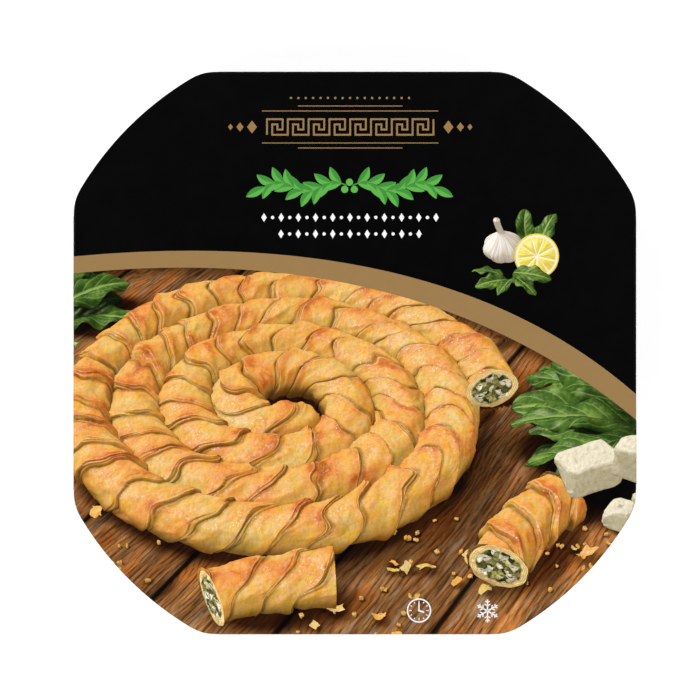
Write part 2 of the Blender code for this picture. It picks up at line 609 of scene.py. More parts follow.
viewer = np.array([0.0, -math.cos(picture["elevation"]), math.sin(picture["elevation"])])
viewUp = np.array([0.0, math.sin(picture["elevation"]), math.cos(picture["elevation"])])
keyDirection = unit(np.array(picture["key"]))
keySlope = keyDirection[:2] / keyDirection[2]
glintDirection = unit(keyDirection + viewer)


def pictured(points, middlePx=picture["middlePx"]):
    # one-point perspective: what is nearer to the viewer by n is larger by D / (D - n)
    nearness = points @ viewer
    scale = picture["distance"] / (picture["distance"] - nearness)
    middleX, middleY = fromPx(*middlePx)
    return middleX + points[..., 0] * scale, middleY + (points @ viewUp) * scale, nearness


def tableUnder(x, y):
    # the inverse of pictured for the table's top, where z is 0
    middleX, middleY = fromPx(*picture["middlePx"])
    across, up = x - middleX, y - middleY
    distance, rise, run = picture["distance"], viewUp[1], -viewer[1]
    away = up * distance / (distance * rise - up * run)
    return across * (distance + away * run) / distance, away


def smoothStep(value, low, high):
    share = np.clip((value - low) / (high - low), 0, 1)
    return share * share * (3 - 2 * share)


def insideSheet(x, y):
    # moves what lies past the band's lower edge, the lid's bowed corners or the walls' ends
    # onto them, and says which points moved
    angles = np.arctan2(rimY, rimX)
    order = np.argsort(angles)
    rimRadius = np.interp(np.arctan2(y, x), angles[order], np.hypot(rimX, rimY)[order], period=fullTurn)
    radius, upright = np.hypot(x, y), np.abs(x) > np.abs(y)
    past = (np.minimum(np.abs(x), np.abs(y)) > filletAlong) & (radius > rimRadius)
    beside = past & (np.maximum(np.abs(x), np.abs(y)) > carton["half"])
    shrink = np.where(past & ~beside, rimRadius / radius, 1.0)
    x = np.where(beside & ~upright, np.clip(x, -filletAlong, filletAlong), x * shrink)
    y = np.where(beside & upright, np.clip(y, -filletAlong, filletAlong), y * shrink)
    skirtX, skirtY = np.clip(x, -sheetHalf, sheetHalf), np.clip(y, -sheetHalf, sheetHalf)
    edge = bandHeight("bottom", skirtX)
    return skirtX, np.minimum(skirtY, edge), past | (y >= edge) | (skirtX != x) | (skirtY != y)


def printLift(x, y, layer):
    # lift = layer thickness * layer, and less on a wall
    lift = layer * inkLayers["thickness"]
    for value in (x, y):
        lift = lift * (1 - (1 - inkLayers["onWall"]) * smoothStep(np.abs(value) - foldStart, 0, foldLength))
    return lift


def cloud(x, y, seed, octaves=3):
    # value noise: random numbers on a square lattice, eased between, halved and doubled in
    # frequency for each octave; from -1 to 1
    table = np.random.default_rng(seed).uniform(-1, 1, (64, 64))
    total, size, weight = 0.0, 0.0, 1.0
    for octave in range(octaves):
        u, v = np.broadcast_arrays(x * 2**octave + 17.3 * octave, y * 2**octave + 5.7 * octave)
        i, j = np.floor(u).astype(int), np.floor(v).astype(int)
        fu, fv = smoothStep(u - i, 0, 1), smoothStep(v - j, 0, 1)
        i, j, iNext, jNext = i % 64, j % 64, (i + 1) % 64, (j + 1) % 64
        near = table[i, j] * (1 - fu) + table[iNext, j] * fu
        far = table[i, jNext] * (1 - fu) + table[iNext, jNext] * fu
        total = total + weight * (near * (1 - fv) + far * fv)
        size, weight = size + weight, weight / 2
    return total / size


def ridges(x, y, seed, octaves=2):
    # (1 - |noise|) ^ 3: flat nearly everywhere, with sharp crests where the noise passes 0
    return (1 - np.abs(cloud(x, y, seed, octaves))) ** 3


def facing(normals, direction):
    # the normals turned to the side that the direction points to, or that direction itself
    # where the grid has run together
    side = np.sign((normals * direction).sum(-1, keepdims=True))
    return np.where(side == 0, unit(direction), normals * side)


def paintedLight(normals):
    # light = shade + key * max(0, n.k) + fill * max(0, n.v), and the glint is max(0, n.h) ^ p
    key, fill, glint = (np.clip(normals @ way, 0, None) for way in (keyDirection, viewer, glintDirection))
    light = picture["shadeShare"] + picture["keyShare"] * key + picture["fillShare"] * fill
    return light, glint ** picture["glintPower"]


def touchesFold(away):
    # cells with a corner on a fold's arc, or with corners on both sides of it
    zone = (away > foldStart).astype(int) + (away > foldStart + foldLength)
    return (zone.max(1) != zone.min(1)) | (zone == 1).any(1)


def printed(x, y, lift, drop=False, **fields):
    # grids at places x, y of the sheet. A cell that touches a fold is cut into finer ones, with
    # each value p = a (1 - s)(1 - t) + b s (1 - t) + c s t + d (1 - s) t between its corners.
    # One that would span from the lid's bowed corner to a wall, with nothing behind it, goes,
    # and so does one whose corners are all dropped
    faces = gridFaces(x.shape)
    awayX, awayY = np.abs(x).reshape(-1)[faces], np.abs(y).reshape(-1)[faces]
    onWall = (np.maximum(awayX, awayY) > carton["half"]).any(1)
    atCorner = (np.minimum(awayX, awayY) > filletAlong + 0.01 * mm).any(1)
    gone = (onWall & atCorner) | np.broadcast_to(drop, x.shape).reshape(-1)[faces].all(1)
    bentX = touchesFold(awayX)
    bent = (bentX | touchesFold(awayY)) & ~gone
    grids = [laid(x, y, lift, skip=bent | gone, **fields)]
    if bent.any():
        a, b, c, d = np.where(bentX[:, None], awayX, awayY)[bent].T
        spans = (np.maximum(abs(b - a), abs(c - d)), np.maximum(abs(d - a), abs(c - b)))
        most, step = inkLayers["mostSteps"], inkLayers["foldStep"]
        s, t = (np.linspace(0, 1, int(np.clip(math.ceil(np.percentile(span, 90) / step), 1, most)) + 1)
                for span in spans)
        s, t = s[None, :, None], t[None, None, :]
        weights = ((1 - s) * (1 - t), s * (1 - t), s * t, (1 - s) * t)

        def finer(value):
            corners = np.broadcast_to(value, x.shape).reshape(-1)[faces[bent]]
            return sum(corners[:, k, None, None] * weight for k, weight in enumerate(weights))

        finerFields = {key: finer(value) for key, value in fields.items()}
        grids.append(laid(finer(x), finer(y), finer(lift), **finerFields))
    return grids


def motif(points, layer, outward=None, light=1.0, middlePx=picture["middlePx"], trim=True, **fields):
    # a surface of the table's scene as printed grids with its painted light; one with no
    # outward direction, such as a leaf, shows both its sides. Its normals are the cross product
    # of the two grid directions
    raw = unit(np.cross(np.gradient(points, axis=-3), np.gradient(points, axis=-2)))
    normals = facing(raw, viewer if outward is None else outward)
    painted, glint = paintedLight(normals)
    x, y, nearness = pictured(points, middlePx)
    drop = (normals @ viewer) < picture["turnedAway"]
    if trim:
        x, y, outside = insideSheet(x, y)
        drop = drop | outside
    if outward is None:
        fields["underside"] = raw @ viewer < 0
    pressed = inkLayers["pressed"] * (nearness - nearness.mean((-2, -1), keepdims=True))
    lift = printLift(x, y, layer) + pressed
    return printed(x, y, lift, drop, light=painted * light, glint=glint, **fields)


# what throws a shadow on the table: an ellipse at a height, thrown along the painted light
shadowCasters = []


def caster(middle, turn, halfLength, halfWidth, height, dark=0.6, soft=0.35):
    # soft is the share of its size over which its edge fades
    return {"middle": middle, "turn": turn, "half": (halfLength, halfWidth), "height": height, "dark": dark,
            "soft": soft}


def thrownShade(x, y, z, casters):
    # product of 1 - dark * (1 - smooth step of the distance in each ellipse), both where the
    # light throws it and, fainter, nearly straight under it
    shade = 1.0
    for one in casters:
        drop = one["height"] - z
        for throw, share in ((1.0, 1.0), (0.12, 0.6)):
            toX = x + throw * keySlope[0] * drop - one["middle"][0]
            toY = y + throw * keySlope[1] * drop - one["middle"][1]
            along, across = turned(toX, toY, -one["turn"])
            away = np.hypot(along / one["half"][0], across / one["half"][1])
            under = (1 - smoothStep(away, 1 - one["soft"], 1 + one["soft"])) * (drop > 0)
            shade = shade * (1 - share * one["dark"] * under)
    return shade


# Where the rolls lie. The pie is one long roll of thin pastry, coiled on the table.

pie = {
    "radius": 124 * mm,
    "pitch": 25.5 * mm,  # from one turn of the roll to the next
    "height": 23 * mm,
    "start": math.radians(8),  # where the roll's outer end is, seen from above
    "innermost": 0.40,  # in pitches, where the roll ends in the middle
    "innerTaper": 14 * mm,  # over which it narrows there
    "pathStep": 0.5 * mm,
    "around": 36,  # points over the roll
    "reach": math.radians(112),  # to either side of the roll's crest
    "wrap": 19 * mm,  # from one edge of the pastry sheet to the next along the roll
    "leafEdges": (0.845, 0.895, 0.95),  # where the sheet's leaves end in each wrap
    "leafSteps": (0.22, 0.26, 0.60),  # how thick each is beside the others
    "reliefMm": {"rise": 1.7, "lip": 0.7, "creases": 0.9, "folds": 1.0, "puffs": 0.9, "crumple": 0.24,
                 "wrinkles": 0.5, "sunk": 1.6},
    "layer": 9.0,
    "endLayer": 11.5,
    "seeds": (11, 31),  # of the roll and of its cut end
}

cutRolls = {  # lengths of roll cut off the pie: middle, direction of the roll, bend and length
    "pieces": [
        {"middle": (112 * mm, -92 * mm), "turn": math.radians(232), "bend": 118 * mm, "length": 60 * mm},
        {"middle": (-4 * mm, -128 * mm), "turn": math.radians(14), "bend": -150 * mm, "length": 56 * mm},
    ],
    "shadow": 13 * mm,  # half its width, and the height that it is thrown from
    "layer": 17.0,
    "endLayer": 18.5,
    "seeds": (50, 70),
}

for piece in cutRolls["pieces"]:
    halfLength, halfWidth = piece["length"] / 2 + 3 * mm, cutRolls["shadow"]
    shadowCasters.append(caster(piece["middle"], piece["turn"], halfLength, halfWidth, halfWidth))

tableShadow = {  # how dark each is, and between which distances it fades
    "thrown": (0.5, -10 * mm, 10 * mm),  # by the pie
    "under": (0.6, -4 * mm, 5 * mm),  # the pie's rim
    "band": (0.5, -1 * mm, 8 * mm),
    "pieHeight": 0.8,  # of the pie's own, where its widest outline is
}


def tableShade(x, y, sheetX, sheetY):
    # the painted shadow of the pie's outline and of each caster, and the painted shade under the band
    throw = -keySlope * pie["height"] * tableShadow["pieHeight"]
    turnIn = np.mod(np.arctan2(y, x) - pie["start"], fullTurn) / fullTurn
    reach = pie["radius"] - pie["pitch"] * turnIn
    away = {"thrown": np.hypot(x - throw[0], y - throw[1]) - reach, "under": np.hypot(x, y) - reach,
            "band": bandHeight("bottom", np.clip(sheetX, -sheetHalf, sheetHalf)) - sheetY}
    shade = thrownShade(x, y, 0.0, shadowCasters)
    for key, distance in away.items():
        dark, start, end = tableShadow[key]
        shade = shade * (1 - dark * (1 - smoothStep(distance, start, end)))
    return shade


def plankArea(x, y):
    # part of the sheet with the table printed on it
    u, v = tableUnder(x, y)
    return laid(x, y, u=u, v=v, light=tableShade(u, v, x, y))


def pieceMap(tree):
    return addNode(tree, "UVMap", uv_map="pieceMap").outputs[0]


def mapParts(tree, vector):
    parts = addNode(tree, "SeparateXYZ", {0: vector})
    return parts.outputs[0], parts.outputs[1]


def lit(tree, colour, shadow=(0.10, 0.06, 0.03), half=(0.54, 0.48, 0.38), full=(1.3, 1.3, 1.26)):
    # the painted light as a tint: shadows keep some colour and highlights go past white
    stops = [(0.0, 0.0), (0.25, (*shadow, 1)), (0.55, (*half, 1)), (0.78, 1.0), (1.0, (*full, 1))]
    return shaded(tree, colour, spread(tree, field(tree, "light"), 0.0, 1.0, end=1.3), stops)


planks = {
    "angle": math.radians(58),  # from the picture's x axis to the grain
    "width": 58 * mm,
    "offset": 0.31,  # of the first joint, in widths
    "gap": 1.0 * mm,
    "ringWidth": 3.0 * mm,
    "knots": (9.0, 22.0),  # places for one, for each metre along and across the grain
    "own": (1.0, 1.45),  # brightness of the darkest and of the palest plank
    "wood": [(0.32, (120, 78, 46)), (0.45, (158, 108, 62)), (0.56, (184, 130, 78)),
             (0.70, (212, 162, 106))],
    # multiplies it, from grey to warm
    "weather": [(0.34, (192, 188, 184)), (0.5, (240, 226, 206)), (0.66, (274, 228, 164))],
    "dry": (178, 158, 130),
    "ring": [(0.0, 0.36), (0.07, 0.52), (0.17, 0.92), (0.42, 1.04), (0.6, 1.18)],  # from its dark line
    "pores": [(0.32, 0.42), (0.45, 0.98), (0.56, 1.10), (0.68, 1.6)],
    "rows": 170,
    "columns": 380,
}


def paintPlanks(tree):
    # planks of one tone each, with the grain along them, dry patches, knots and dark joints
    along, across = mapParts(tree, mapping(tree, pieceMap(tree), Rotation=(0, 0, -planks["angle"])))
    count = plus(tree, maths(tree, "DIVIDE", across, planks["width"]), 20 + planks["offset"])
    lot = addNode(tree, "TexWhiteNoise", {"W": maths(tree, "FLOOR", count)}, noise_dimensions="1D")
    lot = lot.outputs["Value"]
    where = combined(tree, plus(tree, along, times(tree, lot, 3.0)), across, times(tree, lot, 0.7))
    # growth rings: bands across the plank that wander slowly along it and flow round a knot
    wander = noise(tree, where, 70 * mm, detail=3.0, stretch=(0.8, 2.4, 1))
    rings = plus(tree, maths(tree, "DIVIDE", across, planks["ringWidth"]), times(tree, wander, 8.0))
    knots = mapping(tree, where, Scale=(*planks["knots"], 1))
    fromKnot = addNode(tree, "TexVoronoi", {"Vector": knots, "Scale": 1.0}, voronoi_dimensions="2D")
    fromKnot = fromKnot.outputs["Distance"]
    flow = ramp(tree, fromKnot, [(0.0, 6.0), (0.12, 3.2), (0.28, 1.0), (0.5, 0.0)])
    ragged = noise(tree, where, 6 * mm, detail=6.0, roughness=0.74, stretch=(0.14, 6, 1))
    ring = plus(tree, maths(tree, "PINGPONG", plus(tree, rings, flow), 0.5),
                times(tree, maths(tree, "SUBTRACT", ragged, 0.5), 1.7))
    broad = noise(tree, where, 34 * mm, detail=5.0, roughness=0.62, stretch=(0.5, 7, 1), distortion=0.4)
    weather = noise(tree, where, 42 * mm, detail=4.0, roughness=0.6, stretch=(0.8, 3.0, 1))
    pores = noise(tree, where, 1.5 * mm, detail=4.0, roughness=0.75, stretch=(0.22, 1.6, 1))
    dry = noise(tree, where, 9 * mm, detail=5.0, roughness=0.7, stretch=(0.3, 3.5, 1))
    wood = ramp(tree, broad, planks["wood"])
    for key, share in (("weather", weather), ("ring", ring), ("pores", pores)):
        wood = shaded(tree, wood, share, planks[key])
    wood = mixed(tree, ramp(tree, dry, [(0.52, 0.0), (0.64, 0.42)]), wood, ink(*planks["dry"]))
    wood = shaded(tree, wood, fromKnot, [(0.04, 0.26), (0.08, 0.6), (0.13, 1.0)])
    wood = mixed(tree, 1.0, wood, spread(tree, lot, *planks["own"]), "MULTIPLY")
    fromMiddle = maths(tree, "ABSOLUTE", maths(tree, "SUBTRACT", maths(tree, "FRACT", count), 0.5))
    joint = 0.5 - planks["gap"] / planks["width"]
    wood = shaded(tree, wood, fromMiddle, [(0.42, 1.0), (joint - 0.012, 0.62), (joint, 0.06), (0.5, 0.02)])
    return lit(tree, wood)


# The rolls of pastry.


def evenly(x, y, *more):
    # walks a fine path at an even step
    length = pathLength(x, y)
    even = np.linspace(0, length[-1], int(length[-1] / pie["pathStep"]))
    return tuple(np.interp(even, length, value) for value in (x, y, length, *more))


def spiralPath():
    # r = R - pitch / 2 - pitch * turns
    outer = pie["radius"] - pie["pitch"] / 2
    turns = outer / pie["pitch"] - pie["innermost"]
    angle = np.linspace(0, turns * fullTurn, 6000)
    x, y = turned(outer - pie["pitch"] * angle / fullTurn, 0.0, pie["start"] + angle)
    return evenly(x, y, angle)


def arcPath(middle, turn, bend, length):
    # an arc of radius bend through the middle, where it runs in the direction turn
    swing = np.linspace(-length / 2, length / 2, 300) / bend
    x, y = turned(bend * np.sin(swing), bend * (1 - np.cos(swing)), turn)
    return evenly(middle[0] + x, middle[1] + y)


def rollFrame(x, y):
    # the path's direction, and the one to its right
    tangent = unit(stacked(np.gradient(x), np.gradient(y)))
    return tangent, stacked(tangent[:, 1], -tangent[:, 0])


wrapSteps = np.concatenate([np.linspace(0, 0.14, 5)[:-1], np.linspace(0.14, 0.80, 10)[:-1],
                            np.linspace(0.80, 1.0, 15)[:-1]])


def leafEnds(rising, bend, turn, seed):
    # the pastry sheet's leaves end one after another in each wrap, each a little before or after
    # its neighbours, and thick or hardly there. Gives how far the surface has fallen, the shade
    # in the steps and the lit edges
    ragged = 0.026 * cloud(bend * 3.2, turn * 3.7, seed + 9, 3)
    fallen, total, shade, edge = 0.0, 0.0, 1.0, 0.0
    for at, step in zip(pie["leafEdges"], pie["leafSteps"]):
        wander = 0.6 * (0.98 - at) * cloud(bend * 1.3, turn * 5.1 + 40 * at, seed + 20, 2)
        present = cloud(bend * 1.2, turn * 4.3 + 60 * at, seed + 30, 1)
        strength = 0.12 + 0.88 * smoothStep(present, -0.35, 0.35)
        past = rising + ragged + wander - at
        fallen = fallen + step * strength * smoothStep(past, 0.0, 0.022)
        total = total + step * strength
        shade = shade * (1 - 0.32 * strength * np.exp(-(((past - 0.026) / 0.018) ** 2)))
        edge = np.maximum(edge, strength * np.exp(-(((past + 0.014) / 0.016) ** 2)))
    return fallen / total, shade, edge


def filoRoll(x, y, length, seed, closeEnd=None, openUntil=math.inf):
    # a roll along a path: side * w sin(b) + up * (h / 2)(1 + cos(b)), b across the roll. The
    # sheet wraps round it aslant, so the surface rises slowly and drops at each wrap's edge;
    # the grid's rows follow the wraps, which keeps their edges crisp
    side = rollFrame(x, y)[1]
    width, height = pie["pitch"] * 1.05, pie["height"]
    bend = np.linspace(-pie["reach"], pie["reach"], pie["around"])[None, :]
    wraps = length[:, None] / pie["wrap"] + 0.40 * bend
    wraps = wraps + 0.62 * cloud(length[:, None] / (34 * mm), bend * 0.7, seed + 1, 2)
    wraps = np.maximum.accumulate(wraps, axis=0) + 1e-6 * np.arange(len(length))[:, None]
    turns = np.arange(math.floor(wraps.min()), math.ceil(wraps.max()) + 1)
    phase = (turns[:, None] + wrapSteps).reshape(-1, 1)
    s = stacked(*(np.interp(phase[:, 0], wraps[:, k], length) for k in range(pie["around"])))
    rising = np.mod(phase, 1.0)
    fallen, edgeShade, edge = leafEnds(rising, bend, np.floor(phase), seed)
    lip = smoothStep(rising, 0.5, 0.82) * (1 - fallen)
    sheetLot = np.repeat(np.random.default_rng(seed).uniform(0.5, 1.3, len(turns)), len(wrapSteps))[:, None]
    creases = ridges(s / (13 * mm) + 0.8 * bend, bend * 1.3 - s / (40 * mm), seed + 2)
    folds = ridges(phase * 0.9 + 0.25 * bend, s / (70 * mm) - bend * 1.1, seed + 5, 1)
    puffs = cloud(s / (15 * mm), bend * 0.9 + s / (50 * mm), seed + 3, 2)
    crumple = cloud(s / (5 * mm), bend * 2.4 + s / (60 * mm), seed + 6, 2)
    wrinkles = ridges(phase * 3.1 + 0.8 * cloud(s / (12 * mm), bend, seed + 7, 1), bend * 0.7, seed + 8)
    deep = pie["reliefMm"]
    relief = deep["rise"] * sheetLot * rising**0.7 * (1 - fallen) + deep["lip"] * lip * sheetLot
    relief = relief + deep["creases"] * creases + deep["folds"] * folds * (1 - fallen)
    relief = relief + deep["puffs"] * puffs + deep["crumple"] * crumple
    relief = mm * (relief + deep["wrinkles"] * wrinkles * (1 - fallen) - deep["sunk"])
    swell = 1 + 0.06 * cloud(s / (34 * mm), 0.0, seed, 2)
    taper = 1.0
    if closeEnd:
        taper = np.sqrt(1 - np.clip(1 - (length[-1] - s) / closeEnd, 0, 1) ** 2)
    w, h = width / 2 * swell * taper, height / 2 * (1 + 0.5 * (swell - 1)) * (0.35 + 0.65 * taper)
    across, up = (w + relief) * np.sin(bend), h + (h + relief) * np.cos(bend)
    atX, atY, sideX, sideY = (np.interp(s, length, value) for value in (x, y, side[:, 0], side[:, 1]))
    points = stacked(atX + sideX * across, atY + sideY * across, up)
    outward = stacked(sideX * np.sin(bend), sideY * np.sin(bend), np.cos(bend))
    # painted shade: a turn's sides are dark where the next turn lies against them, and less dark where
    # nothing lies beside
    grooveShade = 0.24 + 0.76 * smoothStep(-np.abs(bend), -math.radians(108), -math.radians(52))
    openSideShade = 0.55 + 0.45 * smoothStep(-np.abs(bend), -math.radians(112), -math.radians(70))
    grooveShade = np.where((s < openUntil) & ((bend > 0) | math.isinf(openUntil)), openSideShade, grooveShade)
    # painted shade where each wrap is tucked under the lip before it, times the painted shade in the
    # leaves' steps
    tucked = (1 - 0.45 * (1 - smoothStep(rising, 0.0, 0.13)) - 0.25 * fallen) * edgeShade
    crest = np.cos(bend) * 0.5 + 0.5
    patches = cloud(s / (15 * mm), bend * 0.9, seed + 4, 2)
    toasted = 0.22 + 0.22 * crest**2 + 0.34 * lip * crest + 0.42 * patches + 0.25 * creases - 0.12 * rising
    return points, outward, {"light": grooveShade * tucked, "u": s, "v": bend * width / 2, "toasted": toasted,
                             "edge": edge}


def cutEnd(x, y, seed, atStart=True):
    # the roll's cross-section at one end: side * w r sin(b) + up * h (1 + r cos(b)), a little
    # rough along the roll
    tangent, side = rollFrame(x, y)
    index = 0 if atStart else -1
    out = -tangent[index] if atStart else tangent[index]
    r = np.linspace(0, 1, 26)[:, None]
    bend = np.linspace(-math.pi, math.pi, 90)[None, :]
    w, h = pie["pitch"] * 0.535, pie["height"] / 2 * 1.03
    rough = 1 + 0.05 * cloud(bend * 2.5, 0.0, seed, 2)
    across, up = w * r * rough * np.sin(bend), h * r * rough * np.cos(bend)
    bulge = 1.5 * mm * cloud(across / (3.0 * mm), up / (3.0 * mm), seed + 1, 3) * (1 - r**6) - 0.8 * mm
    points = stacked(x[index] + side[index, 0] * across + out[0] * bulge,
                     y[index] + side[index, 1] * across + out[1] * bulge, h + up)
    outward = np.broadcast_to((*out, 0.0), points.shape)
    return points, outward, {"u": across, "v": up, "radial": r, "turned": bend / math.pi,
                             "light": 1.42 - 0.3 * smoothStep(-up / h, 0.2, 1.0)}


def embossed(tree, colour, size, strength, detail=4.0):
    # painted light on a fine relief: 1 + strength * (height here - height a step towards the key)
    where = boardCoordinates(tree)
    step = tuple(-0.3 * size * float(part) for part in keyDirection[:2])
    places = where, mapping(tree, where, Location=(*step, 0.0))
    relief = maths(tree, "SUBTRACT", *(noise(tree, place, size, detail, 0.6) for place in places))
    tint = spread(tree, relief, 1 - strength, 1 + strength, -0.5, 0.5, clamp=False)
    return mixed(tree, 1.0, colour, tint, "MULTIPLY")


def uneven(tree, where, size):
    # the map pushed about by noise, so that shapes drawn on it have uneven edges
    wobble = addNode(tree, "TexNoise", {"Vector": where, "Scale": 1 / size, "Detail": 2.0}).outputs["Color"]
    for inputs, operation in (({1: (0.5, 0.5, 0.5)}, "SUBTRACT"), ({"Scale": size * 1.2}, "SCALE"),
                              ({1: where}, "ADD")):
        wobble = addNode(tree, "VectorMath", {0: wobble, **inputs}, operation=operation).outputs[0]
    return wobble


def cells(tree, where, size):
    # the plane divided among points strewn at random
    return addNode(tree, "TexVoronoi", {"Vector": where, "Scale": 1 / size}).outputs


pastryInks = {
    "toasted": [(0.0, (232, 200, 114)), (0.2, (240, 196, 108)), (0.42, (244, 188, 98)),
                (0.62, (245, 176, 85)), (0.8, (243, 159, 78)), (1.0, (218, 120, 52))],
    "tint": [(0.36, (1.0, 0.95, 0.56, 1)), (0.64, (1.0, 1.0, 1.4, 1))],  # from yellow to pale
    # the painted highlight along each leaf's edge
    "edge": (253, 224, 160),
    "shine": (255, 236, 200),
}


def paintPastry(tree):
    # from pale yellow to brown as the roll is toasted, with a painted highlight along each leaf's edge
    where = pieceMap(tree)
    blotch = noise(tree, where, 8 * mm, detail=4.0, roughness=0.6, distortion=0.6)
    crumple = noise(tree, where, 3.2 * mm, 4.0, roughness=0.62, stretch=(1.5, 0.8, 1), distortion=1.4)
    toasted = plus(tree, field(tree, "toasted"), spread(tree, blotch, -0.45, 0.45))
    pastry = ramp(tree, toasted, pastryInks["toasted"])
    pastry = shaded(tree, pastry, noise(tree, where, 6 * mm, detail=3.0, roughness=0.6), pastryInks["tint"])
    # painted shade and highlight in streaks over the sheet's crumples
    pastry = shaded(tree, pastry, crumple, [(0.36, 0.86), (0.46, 1.0), (0.56, 1.0), (0.68, 1.08)])
    # painted highlight along each leaf's edge, where the edge field is high
    rim = ramp(tree, field(tree, "edge"), [(0.3, 0.0), (1.0, 0.5)])
    pastry = mixed(tree, rim, pastry, ink(*pastryInks["edge"]))
    pastry = lit(tree, pastry, shadow=(0.18, 0.13, 0.07), half=(0.70, 0.62, 0.45), full=(1.15, 1.11, 1.12))
    pastry = embossed(tree, pastry, 4.5 * mm, 0.42, detail=2.0)
    # the glaze shines in streaks and on small blisters
    glint = field(tree, "glint")
    bubbles = cells(tree, uneven(tree, where, 1.4 * mm), 1.5 * mm)["Distance"]
    dots = ramp(tree, bubbles, [(0.12, 1.0), (0.34, 0.0)])
    speck = ramp(tree, crumple, [(0.46, 0.2), (0.60, 1.0)])
    streaks = times(tree, glint, mixed(tree, 0.6, speck, dots))
    clusters = shaded(tree, dots, blotch, [(0.46, 0.0), (0.60, 0.8)])
    blisters = times(tree, maths(tree, "POWER", glint, 0.35), clusters)
    shine = maths(tree, "MULTIPLY", plus(tree, streaks, blisters), 0.9, clamp=True)
    return mixed(tree, shine, pastry, ink(*pastryInks["shine"]))


fillingInks = {
    "curds": [(0.0, (58, 56, 26)), (0.16, (104, 102, 50)), (0.34, (158, 152, 88)), (0.54, (200, 190, 130)),
              (0.68, (246, 234, 204))],
    "shreds": (46, 58, 24),
    "leaves": 15.0,  # of pastry from the middle to the rim
    "crust": [(0.0, (170, 112, 54)), (0.16, (246, 216, 140)), (0.7, (255, 232, 170)),
              (0.95, (222, 172, 96))],
}


def paintFilling(tree):
    # greens and crumbled cheese inside a few leaves of pale pastry
    where = pieceMap(tree)
    curds = cells(tree, uneven(tree, where, 2.5 * mm), 3.0 * mm)
    pick = addNode(tree, "SeparateColor", {0: curds["Color"]}).outputs[0]
    filling = ramp(tree, pick, fillingInks["curds"], "CONSTANT")
    shreds = noise(tree, where, 2.6 * mm, detail=4.0, roughness=0.65, stretch=(0.8, 2.2, 1), distortion=2.0)
    shreds = ramp(tree, shreds, [(0.55, 0.0), (0.60, 1.0)])
    filling = mixed(tree, shreds, filling, ink(*fillingInks["shreds"]))
    # painted shade: each curd is darker away from its middle, towards the next one
    filling = shaded(tree, filling, curds["Distance"], [(0.25, 1.05), (0.75, 0.62)])
    swirl = plus(tree, field(tree, "radial"), times(tree, field(tree, "turned"), 0.035))
    swirl = plus(tree, swirl, spread(tree, noise(tree, where, 4 * mm), -0.05, 0.05))
    leaves = maths(tree, "FRACT", times(tree, swirl, fillingInks["leaves"]))
    crust = ramp(tree, leaves, fillingInks["crust"])
    share = ramp(tree, swirl, [(0.76, 0.0), (0.80, 1.0)])
    return embossed(tree, lit(tree, mixed(tree, share, filling, crust)), 1.6 * mm, 0.6)


pastryMaterial = printedMaterial("pastryInks", paintPastry)
fillingMaterial = printedMaterial("fillingInks", paintFilling)

spiralX, spiralY, spiralLength, spiralTurn = spiralPath()
outerTurn = float(np.interp(fullTurn, spiralTurn, spiralLength))
rollSeed, endSeed = pie["seeds"]
points, outward, more = filoRoll(spiralX, spiralY, spiralLength, rollSeed, pie["innerTaper"], outerTurn)
makePiece("coiledPie", motif(points, pie["layer"], outward, **more), pastryMaterial)

rollGrids = []
points, outward, more = cutEnd(spiralX, spiralY, endSeed)
endGrids = motif(points, pie["endLayer"], outward, **more)
rollSeed, endSeed = cutRolls["seeds"]
for number, piece in enumerate(cutRolls["pieces"]):
    x, y, length = arcPath(**piece)
    points, outward, more = filoRoll(x, y, length, rollSeed + 10 * number)
    rollGrids += motif(points, cutRolls["layer"], outward, **more)
    for atStart in (True, False):
        points, outward, more = cutEnd(x, y, endSeed + number, atStart)
        if outward[0, 0] @ viewer > 0:
            endGrids += motif(points, cutRolls["endLayer"], outward, **more)
makePiece("cutRolls", rollGrids, pastryMaterial)
makePiece("pieFilling", endGrids, fillingMaterial)

# Leaves beside the pie.

leafShape = {
    "rows": 46,
    "columns": 17,
    "sideVeins": 7,
    "veinLag": 0.32,  # how far a side vein runs towards the tip on its way to the rim
    "stemRadius": 1.3 * mm,
    "bends": ((0.1, 0.5), (0.5, 1.0), (-0.7, 0.7), (-0.5, 0.5)),  # pitch, droop, sway, roll: least, most
    "rootShade": (0.62, 0.6),  # light at the base of a blade, and the share of it that darkens
    "shadow": {"long": 0.48, "wide": 0.42, "high": 5 * mm, "dark": 0.58, "soft": 0.3},
}

leafFans = [  # where the stems meet, the directions and lengths of the leaves, and their layers
    {"root": (184 * mm, -26 * mm), "turns": (95, 212), "lengths": (52 * mm, 76 * mm), "count": 17,
     "spread": 18 * mm, "seed": 5, "layer": 9.5, "layerStep": 0.55, "lift": (3 * mm, 18 * mm)},
    {"root": (-132 * mm, 90 * mm), "turns": (5, 100), "lengths": (48 * mm, 66 * mm), "count": 7,
     "spread": 14 * mm, "seed": 8, "layer": 1.3, "layerStep": 0.7, "lift": (1 * mm, 6 * mm)},
]


